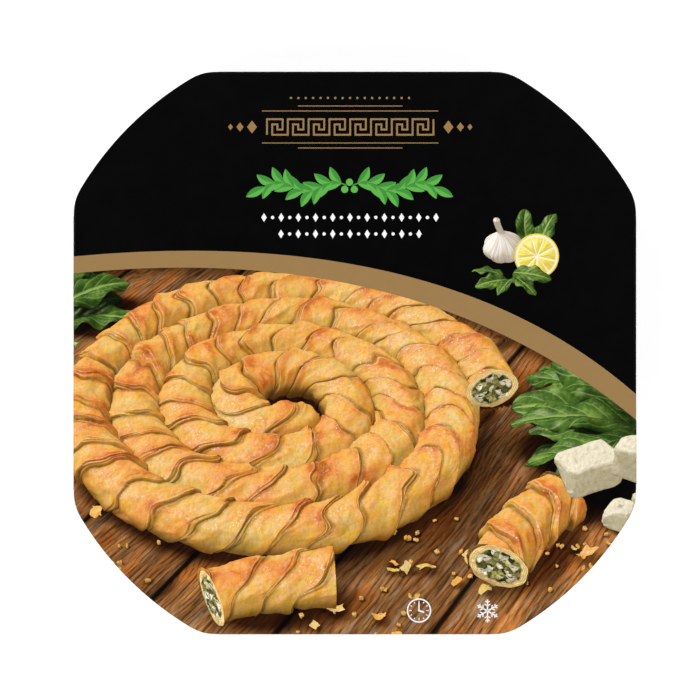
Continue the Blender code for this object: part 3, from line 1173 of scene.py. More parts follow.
def leafBlade(base, turn, length, width, pitch, droop, sway, roll, seed):
    # u runs along the midrib and v across it. The midrib turns by sway and pitches from pitch
    # down by droop; half width = W / 2 * sin(pi u^0.8)^0.6; the halves fold up by |v|, the rim
    # ripples, and the blade puckers between side veins, which leave the midrib at u - lag |v|
    u = np.linspace(0, 1, leafShape["rows"])[:, None]
    v = np.linspace(-1, 1, leafShape["columns"])[None, :]
    heading = turn + sway * (u[:, 0] - 0.3)
    tilt = pitch - droop * u[:, 0] ** 1.3
    forward = stacked(np.cos(heading) * np.cos(tilt), np.sin(heading) * np.cos(tilt), np.sin(tilt))
    walk = forward * length / (leafShape["rows"] - 1)
    midrib = np.array(base) + np.cumsum(walk, axis=0) - walk[:1]
    side = stacked(-np.sin(heading) * math.cos(roll), np.cos(heading) * math.cos(roll), math.sin(roll))
    half = width / 2 * np.clip(np.sin(math.pi * u**0.8), 0, 1) ** 0.6
    rng = np.random.default_rng(seed)
    waves, phases = rng.uniform(2.0, 3.2), rng.uniform(0, 6.3, 2)
    ripple = 0.22 * v**2 * np.sin(math.pi * 2 * waves * u + np.where(v > 0, phases[0], phases[1]))
    vein = np.mod((u - leafShape["veinLag"] * np.abs(v)) * leafShape["sideVeins"], 1.0)
    pucker = 0.05 * np.sin(math.pi * vein) * np.sin(math.pi * np.abs(v)) ** 0.5
    out = half * v * (1 - 0.12 * v**2)
    rise = half * (0.42 * np.abs(v) + ripple + pucker - 0.35 * np.abs(v) ** 3)
    points = (midrib[:, None, :] + side[:, None, :] * out[..., None]
              + np.cross(forward, side)[:, None, :] * rise[..., None])
    return points, {"u": u, "v": v}


def leafStem(base, turn, length):
    # half a tube: side * r sin(b) + up * r cos(b), running back from the leaf's base
    t = np.linspace(0, 1, 10)[:, None]
    bend = np.linspace(-1.7, 1.7, 7)[None, :]
    radius = leafShape["stemRadius"] * (1 + 0.5 * t)
    x, y = turned(length * t, radius * np.sin(bend), turn + math.pi + 0.5 * t)
    z = base[2] * (1 - t) + radius * np.cos(bend)
    return stacked(base[0] + x, base[1] + y, z), {"u": t, "v": bend, "stem": 1.0}


def leafFan(fan):
    # leaves spread evenly over the fan's directions, in a random order of height
    rng = np.random.default_rng(fan["seed"])
    count = fan["count"]
    turns = np.radians(np.linspace(*fan["turns"], count)) + rng.uniform(-0.10, 0.10, count)
    shadow = leafShape["shadow"]
    leaves = []
    for number, turn in enumerate(turns[rng.permutation(count)]):
        height = fan["lift"][0] + (fan["lift"][1] - fan["lift"][0]) * number / count
        away = rng.uniform(0, fan["spread"])
        base = (fan["root"][0] + away * math.cos(turn) * 0.6 + rng.uniform(-4, 4) * mm,
                fan["root"][1] + away * math.sin(turn) + rng.uniform(-4, 4) * mm, height)
        length = rng.uniform(*fan["lengths"])
        width = length * rng.uniform(0.50, 0.66)
        middle = (base[0] + 0.5 * length * math.cos(turn), base[1] + 0.5 * length * math.sin(turn))
        bends = [rng.uniform(*ends) for ends in leafShape["bends"]]
        leaves.append({
            "layer": fan["layer"] + fan["layerStep"] * number,
            "stem": leafStem(base, turn, length * 0.55),
            "blade": leafBlade(base, turn, length, width, *bends, fan["seed"] * 100 + number),
            "caster": caster(middle, turn, length * shadow["long"], width * shadow["wide"],
                             height + shadow["high"], shadow["dark"], shadow["soft"]),
        })
    return leaves


leafInks = {
    "blade": [(0.3, (44, 74, 26)), (0.5, (74, 108, 38)), (0.7, (118, 150, 58))],
    "vein": (154, 180, 96),
    "below": (118, 144, 88),
    "stem": [(0.3, (150, 176, 92)), (0.7, (196, 212, 140))],
    "shine": (206, 228, 158),
}


def paintLeaf(tree):
    # green between a pale midrib and side veins, paler below
    u, v = mapParts(tree, pieceMap(tree))
    away = maths(tree, "ABSOLUTE", v)
    where = boardCoordinates(tree)
    fine = noise(tree, where, 1.3 * mm, detail=3.0)
    blade = ramp(tree, noise(tree, where, 7 * mm, detail=4.0, roughness=0.6), leafInks["blade"])
    blade = shaded(tree, blade, fine, [(0.35, 0.82), (0.65, 1.12)])
    lag = times(tree, away, -leafShape["veinLag"])
    order = times(tree, plus(tree, u, lag), float(leafShape["sideVeins"]))
    sideVein = ramp(tree, maths(tree, "PINGPONG", order, 0.5), [(0.02, 0.55), (0.09, 0.0)])
    midVein = ramp(tree, away, [(0.04, 0.9), (0.11, 0.0)])
    blade = mixed(tree, maths(tree, "MAXIMUM", sideVein, midVein), blade, ink(*leafInks["vein"]))
    blade = mixed(tree, times(tree, field(tree, "underside"), 0.6), blade, ink(*leafInks["below"]))
    leaf = mixed(tree, field(tree, "stem"), blade, ramp(tree, fine, leafInks["stem"]))
    leaf = lit(tree, leaf, shadow=(0.04, 0.055, 0.03), half=(0.30, 0.34, 0.26))
    leaf = embossed(tree, leaf, 3 * mm, 0.4, detail=2.0)
    shine = maths(tree, "MULTIPLY", maths(tree, "POWER", field(tree, "glint"), 2.5), 0.5, clamp=True)
    return mixed(tree, shine, leaf, ink(*leafInks["shine"]))


leafGrids = []
rootLight, rootEnd = leafShape["rootShade"]
for fan in leafFans:
    leaves = leafFan(fan)
    above = [leaf["caster"] for leaf in leaves]
    shadowCasters += above
    for number, leaf in enumerate(leaves):
        for part, lift in (("stem", -0.3), ("blade", 0.0)):
            points, more = leaf[part]
            shade = thrownShade(points[..., 0], points[..., 1], points[..., 2], above[number + 1:])
            shade = shade * (rootLight + (1 - rootLight) * smoothStep(more["u"], 0.0, rootEnd))
            leafGrids += motif(points, leaf["layer"] + lift, light=shade, **more)
leafMaterial = printedMaterial("leafInks", paintLeaf)
makePiece("greenLeaves", leafGrids, leafMaterial)

# Lumps of white cheese, crumbs and flakes of pastry.

cheese = {
    "lumps": [  # middle, half sizes, turn and squareness of each: 0 is a block and 1 a ball
        {"middle": (150 * mm, -45 * mm), "half": (15 * mm, 10 * mm, 9 * mm), "turn": 0.45, "square": 0.3},
        {"middle": (176 * mm, -37 * mm), "half": (11 * mm, 10 * mm, 10 * mm), "turn": -0.5, "square": 0.36},
        {"middle": (160 * mm, -74 * mm), "half": (8 * mm, 6 * mm, 5 * mm), "turn": 1.0, "square": 0.42},
        {"middle": (173 * mm, -60 * mm), "half": (3.4 * mm, 3 * mm, 2.6 * mm), "turn": 0.3, "square": 0.5},
    ],
    "rough": 0.07,
    "chips": 7,
    "rows": 76,
    "columns": 116,
    "shadow": (1.1, 1.15),  # its half length and half width for those of the lump
    "layers": (21.5, 0.8),  # the first one's, and the step to the next
    "seeds": (90, 190),
    "white": [(0.3, (202, 188, 156)), (0.42, (230, 218, 190)), (0.7, (242, 233, 210))],
}


def signedPower(value, power):
    # |v|^p with the sign of v
    return np.sign(value) * np.abs(value) ** power


def lumps(middles, halves, turns, square, rough, seed, rows, columns):
    # superellipsoids: each cosine and sine is raised to the power square, keeping its sign, and
    # the surface is pushed in and out by noise
    tilt = np.linspace(-quarterTurn, quarterTurn, rows)[None, :, None]
    turn = np.linspace(quarterTurn, 5 * quarterTurn, columns)[None, None, :]
    wide, high = signedPower(np.cos(tilt), square), signedPower(np.sin(tilt), square)
    x, y = wide * signedPower(np.cos(turn), square), wide * signedPower(np.sin(turn), square)
    which = np.arange(len(middles))[:, None, None]
    bumps = cloud(x * 1.7 + 7.7 * which, y * 1.7 + 2.3 * high, seed, 3)
    push = 1 + rough * (bumps + 0.6 * cloud(high * 2.1, x + y * 1.3, seed + 1, 3))
    local = stacked(x, y, high) * push[..., None] * np.asarray(halves)[:, None, None, :]
    x, y = turned(local[..., 0], local[..., 1], np.asarray(turns)[:, None, None])
    outward = stacked(x, y, local[..., 2])
    return outward + np.asarray(middles)[:, None, None, :], outward


def chipped(points, outward, chips, seed):
    # planes at random cut each lump flat: what lies past one, p . n > d, is moved back onto it
    rng = np.random.default_rng(seed)
    reach = np.abs(outward).max((1, 2), keepdims=True)
    for _ in range(chips):
        normal = unit(rng.normal(size=(len(points), 1, 1, 3)) + (0, 0, 0.25))
        extent = (np.abs(normal) * reach).sum(-1, keepdims=True)
        depth = rng.uniform(0.56, 0.80, (len(points), 1, 1, 1)) * extent
        past = np.clip((outward * normal).sum(-1, keepdims=True) - depth, 0, None)
        points, outward = points - past * normal, outward - past * normal
    return points, outward


def paintCheese(tree):
    # uneven white, with painted shade in the darker cracks between its curds
    where = boardCoordinates(tree)
    white = ramp(tree, noise(tree, where, 2.2 * mm, detail=5.0, roughness=0.65), cheese["white"])
    white = shaded(tree, white, cells(tree, where, 2.6 * mm)["Distance"], [(0.03, 0.72), (0.10, 1.0)])
    white = lit(tree, white, shadow=(0.22, 0.19, 0.12), half=(0.64, 0.62, 0.52))
    return embossed(tree, white, 2.6 * mm, 0.4)


cheeseGrids = []
cheeseLayer, cheeseStep = cheese["layers"]
shapeSeed, chipSeed = cheese["seeds"]
for number, lump in enumerate(cheese["lumps"]):
    halfX, halfY, halfZ = lump["half"]
    shadowHalf = halfX * cheese["shadow"][0], halfY * cheese["shadow"][1]
    shadowCasters.append(caster(lump["middle"], lump["turn"], *shadowHalf, halfZ, soft=0.25))
    whole = lumps([(*lump["middle"], halfZ)], [lump["half"]], [lump["turn"]], lump["square"],
                  cheese["rough"], shapeSeed + number, cheese["rows"], cheese["columns"])
    points, outward = chipped(*whole, cheese["chips"], chipSeed + number)
    layer = cheeseLayer + cheeseStep * number
    cheeseGrids += motif(points[0], layer, outward[0], u=points[0, ..., 0], v=points[0, ..., 1])
makePiece("cheeseLumps", cheeseGrids, printedMaterial("cheeseInks", paintCheese))

scatter = {
    "crumbs": 70,
    "flakes": 26,
    "middles": ((74 * mm, -112 * mm), (30 * mm, -146 * mm), (-86 * mm, -96 * mm), (140 * mm, -104 * mm)),
    "spread": 17 * mm,
    "crumbSize": (0.5 * mm, 1.3 * mm),
    "crumbSquare": 0.6,
    "crumbRough": 0.6,
    "crumbChips": 4,
    "crumbSeeds": (17, 18),
    "flakeSize": (1.6 * mm, 4.2 * mm),
    "flakeSeed": 23,
    "seed": 3,
    "crumbLayers": (2.0, 0.8),  # their own and their shade's
    "flakeLayers": (2.6, 1.2),
    # the painted shade that each patch puts on the table under a crumb or a flake
    "dark": (0.5, 0.45),  # how dark that is under crumbs and under flakes
}


def scattered(count, rng):
    # around the chosen middles, denser near them
    middles = np.array(scatter["middles"])[rng.integers(0, len(scatter["middles"]), count)]
    return middles + rng.normal(0, scatter["spread"], (count, 2))


def crumbs(rng):
    # very small chipped lumps, standing on the table at z = 0.8 of the half height
    count = scatter["crumbs"]
    half = rng.uniform(*scatter["crumbSize"], (count, 3))
    middles = np.concatenate([scattered(count, rng), half[:, 2:] * 0.8], -1)
    shapeSeed, chipSeed = scatter["crumbSeeds"]
    whole = lumps(middles, half, rng.uniform(0, 6.3, count), scatter["crumbSquare"], scatter["crumbRough"],
                  shapeSeed, rows=7, columns=11)
    return chipped(*whole, scatter["crumbChips"], chipSeed)


def flakes(rng):
    # thin scraps: x, y turned about z, with z = lift + bow * x^2 and a torn, uneven outline
    count = scatter["flakes"]

    def lot(low, high):
        return rng.uniform(low, high, count)[:, None, None]

    size = lot(*scatter["flakeSize"])
    along = np.linspace(-1, 1, 7)[None, :, None]
    across = np.linspace(-1, 1, 6)[None, None, :] * lot(0.4, 0.8)
    apart = 5.1 * np.arange(count)[:, None, None]
    torn = 1 + 0.6 * cloud(along * 2 + apart, across * 2, scatter["flakeSeed"], 2)
    turn, bow = lot(0, 6.3), lot(-0.5, 0.6)
    middles = scattered(count, rng)
    x, y = turned(size * torn * along, size * torn * across, turn)
    z = size * (0.55 + bow * along**2 + 0.2 * across)
    return stacked(middles[:, :1, None] + x, middles[:, 1:, None] + y, z)


def underPatch(points, layer, dark):
    # the table's own surface in a shallow ellipse of shade below each small thing
    middle = points.mean((1, 2))[:, None, None, :]
    reach = np.ptp(points[..., 0], axis=(1, 2))[:, None, None] * 0.62 + 0.5 * mm
    r, turn = np.linspace(0, 1.3, 5)[None, :, None], np.linspace(0, fullTurn, 13)[None, None, :]
    x, y = (middle[..., k] - keySlope[k] * middle[..., 2] + reach * r * wave(turn)
            for k, wave in enumerate((np.cos, np.sin)))
    sheetX, sheetY, drop = insideSheet(*pictured(stacked(x, y, 0.0))[:2])
    u, v = tableUnder(sheetX, sheetY)
    shade = tableShade(u, v, sheetX, sheetY) * (1 - dark * (1 - smoothStep(r, 0.3, 1.25)))
    return printed(sheetX, sheetY, printLift(sheetX, sheetY, layer), drop, u=u, v=v, light=shade)


scatterRng = np.random.default_rng(scatter["seed"])
crumbPoints, crumbOut = crumbs(scatterRng)
flakePoints = flakes(scatterRng)
toastedLots = scatterRng.uniform(0.0, 0.6, len(flakePoints))[:, None, None]
crumbLayer, crumbShade = scatter["crumbLayers"]
flakeLayer, flakeShade = scatter["flakeLayers"]
makePiece("pastryCrumbs", [
    *motif(crumbPoints, crumbLayer, crumbOut, u=crumbPoints[..., 0], v=crumbPoints[..., 1], toasted=0.3),
    *motif(flakePoints, flakeLayer, u=flakePoints[..., 0], v=flakePoints[..., 1], toasted=toastedLots),
], pastryMaterial)

plankAreas = [
    between(rimFrom(rimTotal + lowRight, rimTotal / 2 - lowLeft, planks["columns"]),
            bandCurve("bottom", planks["columns"]), planks["rows"]),
    cornerField(2),
    cornerField(3),
    wallField("front", -filletAlong, filletAlong, rows=40, columns=200),
    wallField("left", -filletAlong, "bottom", columns=100),
    wallField("right", -filletAlong, "bottom"),
]
makePiece("plankPrint", [
    *(plankArea(*area) for area in plankAreas),
    *underPatch(crumbPoints, crumbShade, scatter["dark"][0]),
    *underPatch(flakePoints, flakeShade, scatter["dark"][1]),
], printedMaterial("plankInks", paintPlanks))

# The black field: a frieze in gold, a garland, rows of beads, a small group of ingredients, and
# two signs on the picture. All of these are flat shapes in places of the photo's pixels.

frieze = {
    "leftPx": 267.0,
    "middlePx": 127.0,
    "cellPx": 5.2,  # of the key pattern, which is 4 cells wide and 3 high
    "repeats": 8,
    "strokePx": 1.8,
    "rulesPx": ((262, 111.0), (262, 143.0), (298, 106.0), (298, 148.0)),  # left end and height of each
    "rulePx": 0.9,
    "lozengesPx": ((252, 5.0, 6.5), (240, 3.6, 4.6), (230.5, 2.5, 3.2)),  # place, half width, half height
    "beadsPx": (291, 409, 98.0, 17),  # first, last, height and number of the beads above
    "beadPx": 1.2,
}
flatLayer = 1.5  # of all these on the black


def printedPx(xPx, yPx, layer=flatLayer, **fields):
    # flat shapes given in the photo's pixels
    x, y = fromPx(xPx, yPx)
    return printed(x, y, printLift(x, y, layer), u=x, v=y, **fields)


def ribbon(xPx, yPx, widthPx):
    # a stroke along a line of points: each is moved to both sides by w / 2 * m / (m . n), where
    # n is the normal of the stretch after it and m the mean of the normals on its two sides
    along = unit(stacked(np.diff(xPx), np.diff(yPx)))
    after = stacked(-along[:, 1], along[:, 0])
    before = np.concatenate([after[:1], after])
    after = np.concatenate([after, after[-1:]])
    mean = unit(before + after)
    offset = mean / (mean * after).sum(-1, keepdims=True) * widthPx / 2
    side = np.array([-1, 1])
    return xPx[:, None] + side * offset[:, :1], yPx[:, None] + side * offset[:, 1:]


def straight(startPx, endPx, widthPx, layer=flatLayer):
    # a straight stroke, in stretches of a few pixels
    stretches = max(int(math.dist(startPx, endPx) / 6), 1)
    x, y = (np.linspace(a, b, stretches + 1) for a, b in zip(startPx, endPx))
    return printedPx(*ribbon(x, y, widthPx), layer)


def spots(xPx, yPx, halfWidthPx, halfHeightPx, power, layer=flatLayer, around=17):
    # x = a c |c|^(p - 1), y = b s |s|^(p - 1) for the turn's cosine and sine: an ellipse where
    # the power p is 1 and a lozenge where it is 2
    turn = np.linspace(0, fullTurn, around)
    r = np.array([[0.02], [1.0]])
    xPx, yPx = (value[:, None, None] for value in np.broadcast_arrays(xPx, yPx))
    return printedPx(xPx + halfWidthPx * r * signedPower(np.cos(turn), power),
                     yPx + halfHeightPx * r * signedPower(np.sin(turn), power), layer)


def keyPattern():
    # the line of the key: up, over, down, in, up, back and down again, once for each repeat
    x = np.array([0, 0, 3, 3, 2, 2, 1, 1])
    y = np.array([0, 3, 3, 1, 1, 2, 2, 0])
    starts, cell = 4 * np.arange(frieze["repeats"]), frieze["cellPx"]
    cellX = np.append(x + starts[:, None], [4 * frieze["repeats"]] * 2)
    cellY = np.append(np.tile(y, frieze["repeats"]), [0, 3])
    return printedPx(*ribbon(frieze["leftPx"] + cell * cellX, frieze["middlePx"] + cell * (1.5 - cellY),
                             frieze["strokePx"]))


def goldFrieze():
    # rules above and below the key, lozenges at its ends and a row of beads
    grids = keyPattern()
    middle = frieze["leftPx"] + 2 * frieze["cellPx"] * frieze["repeats"]
    for start, height in frieze["rulesPx"]:
        grids += straight((start, height), (2 * middle - start, height), frieze["rulePx"])
    for place, halfWidth, halfHeight in frieze["lozengesPx"]:
        grids += spots([place, 2 * middle - place], frieze["middlePx"], halfWidth, halfHeight, 2.0)
    first, last, height, count = frieze["beadsPx"]
    bead = frieze["beadPx"]
    return grids + spots(np.linspace(first, last, count), height, bead, bead, 1.0, around=13)


makePiece("goldFrieze", goldFrieze(), goldMaterial)

garland = {
    "middlePx": (349.5, 187.0),
    "reachPx": 104.0,  # to either side
    "wavePx": 4.5,
    "waves": 1.5,  # on either side
    "pairs": 8,
    "leafPx": (22.0, 8.8),
    "pairLength": 0.92,  # of the leaves in pairs beside the one at the end
    "bow": 0.10,
    "lean": math.radians(38),  # between a leaf and the stem
    "stemPx": 1.4,
    "stemFromPx": 3,  # where the stem and the first leaves start
    "leavesFromPx": 8,
    "berryPx": 3.6,
    "berriesPx": ((-4.8, 0, 4.8), (2.4, -4.8, 2.4)),  # from the middle
    "layerStep": 0.4,  # each leaf lies on the one before
    "greens": ((100, 184, 80), (70, 150, 62)),
}


def flatLeaves(xPx, yPx, turn, lengthPx, widthPx, bow):
    # almond shapes: half width = w / 2 * sin(pi u)^0.85 on both sides of a midrib that is bowed
    # by b * sin(pi u), with one half in a darker green
    u = np.linspace(0.0, 1, 11)[:, None]
    v = np.array([-1, -0.05, 0.05, 1])
    swell = np.clip(np.sin(math.pi * u), 0, 1)
    x, y = turned(lengthPx * u, widthPx / 2 * swell**0.85 * v + bow * lengthPx * swell, turn[:, None, None])
    return xPx[:, None, None] + x, yPx[:, None, None] - y, (v > 0) + 0.0 * x


def greenGarland():
    # a waving stem to the right with leaves in pairs and one at its end; the same mirrored on
    # the left, and three berries in the middle
    middleX, middleY = garland["middlePx"]
    length, width = garland["leafPx"]
    stemEnd = garland["reachPx"] - length + 2
    away = np.linspace(garland["stemFromPx"], stemEnd, 60)
    height = middleY - garland["wavePx"] * np.sin(away / stemEnd * garland["waves"] * fullTurn)
    root = np.linspace(garland["leavesFromPx"], stemEnd, garland["pairs"] + 1)
    slope = -np.arctan(np.gradient(height, away))
    rootHeight, heading = (np.interp(root, away, value) for value in (height, slope))
    leaves = []
    for side in (1, -1):
        turn = heading[:-1] + side * garland["lean"]
        leaves.append(flatLeaves(root[:-1], rootHeight[:-1], turn, length * garland["pairLength"], width,
                                 -garland["bow"] * side))
    leaves.append(flatLeaves(root[-1:], rootHeight[-1:], heading[-1:], length, width, 0.0))
    x, y, dark = (np.concatenate(values) for values in zip(*leaves))
    pairs = np.arange(garland["pairs"])
    order = np.concatenate([pairs, pairs + 0.5, [garland["pairs"]]])
    layers = flatLayer + 0.5 + garland["layerStep"] * order[:, None, None]
    stemX, stemY = ribbon(away, height, garland["stemPx"])
    grids = []
    for side in (1, -1):
        grids += printedPx(middleX + side * stemX, stemY, dark=1.0)
        grids += printedPx(middleX + side * x, y, layers, dark=dark)
    (berryX, berryY), berry = np.array(garland["berriesPx"]), garland["berryPx"]
    return grids + spots(middleX + berryX, middleY + berryY, berry, berry, 1.0, flatLayer + 1.0)


def paintGarland(tree):
    return mixed(tree, field(tree, "dark"), *(ink(*green) for green in garland["greens"]))


makePiece("greenGarland", greenGarland(), printedMaterial("garlandInk", paintGarland))

beads = {
    "rowsPx": ((264, 436, 217.5, 21), (281, 419, 234.0, 17)),  # first, last, height and number
    "lozengePx": (2.7, 4.4),
    "dotPx": 1.7,
}


def whiteBeads():
    # rows of lozenges and dots in turn
    grids = []
    for first, last, height, count in beads["rowsPx"]:
        x, dot = np.linspace(first, last, count), beads["dotPx"]
        grids += spots(x[::2], height, *beads["lozengePx"], 2.0)
        grids += spots(x[1::2], height, dot, dot, 1.0, around=13)
    return grids


signs = {
    "clockPx": (419, 610.5),
    "marksPx": ((2.6, 1.6, 1.6), 0.9),  # lengths of an hour's mark and of the next two, and their width
    "marksInPx": 1.6,  # from the ring
    "handsPx": ((quarterTurn, 7.4, 1.3), (-0.35, 5.6, 1.5)),  # direction, length and width
    "handTailPx": 1.0,
    "frostPx": (487.5, 611.0),
    "twigsPx": ((0.42, 3.6), (0.72, 2.8)),  # place along the arm and length
    "twigPx": 1.1,
    "twigTurn": math.radians(52),
    "armsFromPx": 0.4,
    "radiusPx": 11.5,
    "strokePx": 1.4,
    "layer": 4.0,
}


def ray(middlePx, turn, start, end, widthPx):
    # a stroke of a sign, away from its middle
    x, y = middlePx
    ends = ((x + away * math.cos(turn), y - away * math.sin(turn)) for away in (start, end))
    return straight(*ends, widthPx, signs["layer"])


def clockSign():
    # a ring, twelve marks and two hands
    x, y = signs["clockPx"]
    radius, (lengths, width) = signs["radiusPx"], signs["marksPx"]
    turn = np.linspace(0, fullTurn, 65)
    ring = ribbon(x + radius * np.cos(turn), y - radius * np.sin(turn), signs["strokePx"])
    grids = printedPx(*ring, signs["layer"])
    markEnd = radius - signs["marksInPx"]
    for hour in range(12):
        grids += ray((x, y), hour * quarterTurn / 3, markEnd - lengths[hour % 3], markEnd, width)
    for turn, length, width in signs["handsPx"]:
        grids += ray((x, y), turn, -signs["handTailPx"], length, width)
    return grids


def frostSign():
    # six arms, each with two pairs of twigs
    x, y = signs["frostPx"]
    grids = []
    for arm in range(6):
        turn = quarterTurn + arm * fullTurn / 6
        grids += ray((x, y), turn, signs["armsFromPx"], signs["radiusPx"], signs["strokePx"])
        for share, length in signs["twigsPx"]:
            away = share * signs["radiusPx"]
            root = (x + away * math.cos(turn), y - away * math.sin(turn))
            for side in (-1, 1):
                grids += ray(root, turn + side * signs["twigTurn"], 0, length, signs["twigPx"])
    return grids


whiteMaterial = flatMaterial("whiteInk")
makePiece("whiteBeads", whiteBeads(), whiteMaterial)
makePiece("whiteSigns", clockSign() + frostSign(), whiteMaterial)

# The small group of ingredients: half a lemon, a bulb of garlic and a few leaves.

group = {
    "middlePx": (519, 268),
    "lemonRadius": 11.5 * mm,
    "lemonMiddle": (9 * mm, -3 * mm, 10 * mm),
    "lemonFacing": (0.16, -0.80, 0.58),
    "segments": 9,
    "lemonLayers": (3.2, 4.2),  # of the skin and of the cut face
    "faceLight": 1.28,
    "flesh": [(0.34, (238, 206, 66)), (0.5, (252, 230, 104)), (0.66, (255, 246, 170))],
    "pith": (254, 248, 222),
    "peel": [(0.35, (236, 200, 40)), (0.6, (255, 228, 66))],
    "garlicRadius": 10.5 * mm,
    "garlicMiddle": (-8 * mm, 9 * mm, 0.0),
    "garlicHeight": 25 * mm,
    "garlicLayer": 2.0,
    "garlicSkin": [(0.34, (206, 184, 178)), (0.48, (244, 236, 224)), (0.6, (255, 250, 240))],
    "garlicRoot": (176, 146, 104),
}

lemonAxis = unit(np.array(group["lemonFacing"]))
lemonFirst = unit(np.cross(lemonAxis, (0, 0, 1)))
lemonSecond = np.cross(lemonFirst, lemonAxis)


def onLemon(out, turn, along):
    # c + R (out (e1 cos p + e2 sin p) + along n), with n the cut face's normal
    out, turn, along = out[..., None], turn[..., None], along[..., None]
    local = out * (lemonFirst * np.cos(turn) + lemonSecond * np.sin(turn)) + along * lemonAxis
    return group["lemonMiddle"] + group["lemonRadius"] * local, local


def lemonSkin():
    # half a ball behind the cut face, with a nib: out = sin t and along = -cos t, longer near 0
    tilt = np.linspace(0.0, quarterTurn, 24)[:, None]
    nib = 1.12 + 0.2 * np.exp(-((tilt / 0.25) ** 2))
    points, out = onLemon(np.sin(tilt), np.linspace(0, fullTurn, 60)[None, :], -nib * np.cos(tilt))
    return points, out, {"v": 1.3}


def lemonFace():
    # the cut, its segments bulging a little
    r = np.linspace(0, 1, 30)[:, None]
    turn = np.linspace(0, fullTurn, 109)[None, :]
    count = turn / fullTurn * group["segments"]
    bulge = 0.05 * np.abs(np.sin(math.pi * count)) ** 0.5 * np.sin(math.pi * np.clip(r / 0.86, 0, 1))
    points = onLemon(r, turn, bulge)[0]
    return points, np.broadcast_to(lemonAxis, points.shape), {"u": count, "v": r}


def streaked(tree, along, across, detail):
    # noise drawn out along a map's second direction
    return addNode(tree, "TexNoise", {"Vector": combined(tree, along, across), "Scale": 1.0,
                                      "Detail": detail}).outputs["Fac"]


def paintLemon(tree):
    # flesh in rays between pale walls, then pith, then peel
    count, r = mapParts(tree, pieceMap(tree))
    juice = streaked(tree, times(tree, count, 6.0), times(tree, r, 2.5), 3.0)
    flesh = ramp(tree, juice, group["flesh"])
    fromWall = times(tree, maths(tree, "PINGPONG", count, 0.5), r)
    pale = ramp(tree, fromWall, [(0.022, 1.0), (0.045, 0.0)])
    for stops in ([(0.07, 1.0), (0.12, 0.0)], [(0.83, 0.0), (0.86, 1.0)]):  # the core and the pith
        pale = maths(tree, "MAXIMUM", pale, ramp(tree, r, stops))
    face = mixed(tree, pale, flesh, ink(*group["pith"]))
    skin = ramp(tree, noise(tree, boardCoordinates(tree), 0.7 * mm), group["peel"])
    lemon = mixed(tree, ramp(tree, r, [(0.93, 0.0), (0.955, 1.0)]), face, skin)
    return lit(tree, lemon, shadow=(0.22, 0.14, 0.02), half=(0.66, 0.58, 0.34))


def garlicBulb():
    # turned profile r(h): round below, drawn in to a neck that leans; r swells in each clove by
    # |cos(k p / 2)|
    share = np.linspace(0, 1, 44)[:, None]
    turn = np.linspace(quarterTurn, 5 * quarterTurn, 121)[None, :]
    low, high, neck = 0.27, 0.66, 0.16
    below = np.sqrt(np.clip(1 - ((share - low) / low) ** 2, 0, 1))
    drawnIn = np.cos(quarterTurn * np.clip((share - low) / (high - low), 0, 1))
    above = neck + (1 - neck) * np.clip(drawnIn, 0, 1) ** 1.3
    profile = np.where(share < low, below, above) * np.clip((1.0 - share) / 0.03, 0, 1) ** 0.5
    cloves = 1 + 0.10 * (np.abs(np.cos(3.5 * turn + 0.4)) - 0.6) * smoothStep(0.62 - share, 0, 0.3)
    streaks = 1 + 0.02 * cloud(turn * 6, share * 1.5, 61, 2)
    r = group["garlicRadius"] * profile * cloves * streaks
    x, y, z = group["garlicMiddle"]
    lean = 3.5 * mm * smoothStep(share, 0.4, 1.0)
    points = stacked(x + r * np.cos(turn) - lean, y + r * np.sin(turn), z + group["garlicHeight"] * share)
    return points, stacked(np.cos(turn), np.sin(turn), 0.9 * (share - 0.25)), {"u": turn, "v": share}


def paintGarlic(tree):
    # white skin with streaks that run up the bulb
    turn, height = mapParts(tree, pieceMap(tree))
    streaks = streaked(tree, times(tree, turn, 7.0), times(tree, height, 1.5), 4.0)
    skin = ramp(tree, streaks, group["garlicSkin"])
    skin = mixed(tree, ramp(tree, height, [(0.01, 1.0), (0.06, 0.0)]), skin, ink(*group["garlicRoot"]))
    return lit(tree, skin, shadow=(0.20, 0.16, 0.12), half=(0.62, 0.57, 0.50))


groupLeaves = {  # of each leaf in turn, in mm and degrees
    "bases": ((-8, -9, 2), (-6, -12, 2), (-4, -13, 3), (-2, -11, 3), (-3, -9, 4), (10, 8, 6), (4, 10, 8)),
    "turns": (168, 206, 246, 300, 338, 62, 98),
    "lengths": (17, 18, 15, 19, 21, 22, 20),
    "layers": (5.0, 5.6, 6.2, 6.8, 7.4, 0.6, 0.9),
    "pitches": (0.35, 0.35, 0.35, 0.35, 0.35, 0.9, 0.9),
    "width": 0.56,  # for each metre of length
    "droop": 0.8,
    "seed": 700,
}


def groupPart(shape, layer, light=1.0):
    # the group stands on the same table, printed higher on the sheet, in the black
    points, outward, more = shape
    return motif(points, layer, outward, light, group["middlePx"], False, **more)


def smallLeaves():
    # blades as on the large leaves, at chosen places
    grids = []
    rows = zip(*(groupLeaves[key] for key in ("bases", "turns", "lengths", "layers", "pitches")))
    for number, (base, turn, length, layer, pitch) in enumerate(rows):
        sway, roll = 0.5 * math.sin(5.0 * number), 0.3 * math.cos(3.0 * number)
        points, more = leafBlade(np.array(base) * mm, math.radians(turn), length * mm,
                                 length * mm * groupLeaves["width"], pitch, groupLeaves["droop"],
                                 sway, roll, groupLeaves["seed"] + number)
        grids += groupPart((points, None, more), layer)
    return grids


skinLayer, faceLayer = group["lemonLayers"]
lemonGrids = groupPart(lemonSkin(), skinLayer) + groupPart(lemonFace(), faceLayer, group["faceLight"])
garlicGrids = groupPart(garlicBulb(), group["garlicLayer"])
makePiece("groupGarlic", garlicGrids, printedMaterial("garlicInks", paintGarlic))
makePiece("groupLemon", lemonGrids, printedMaterial("lemonInks", paintLemon))
makePiece("groupLeaves", smallLeaves(), leafMaterial)

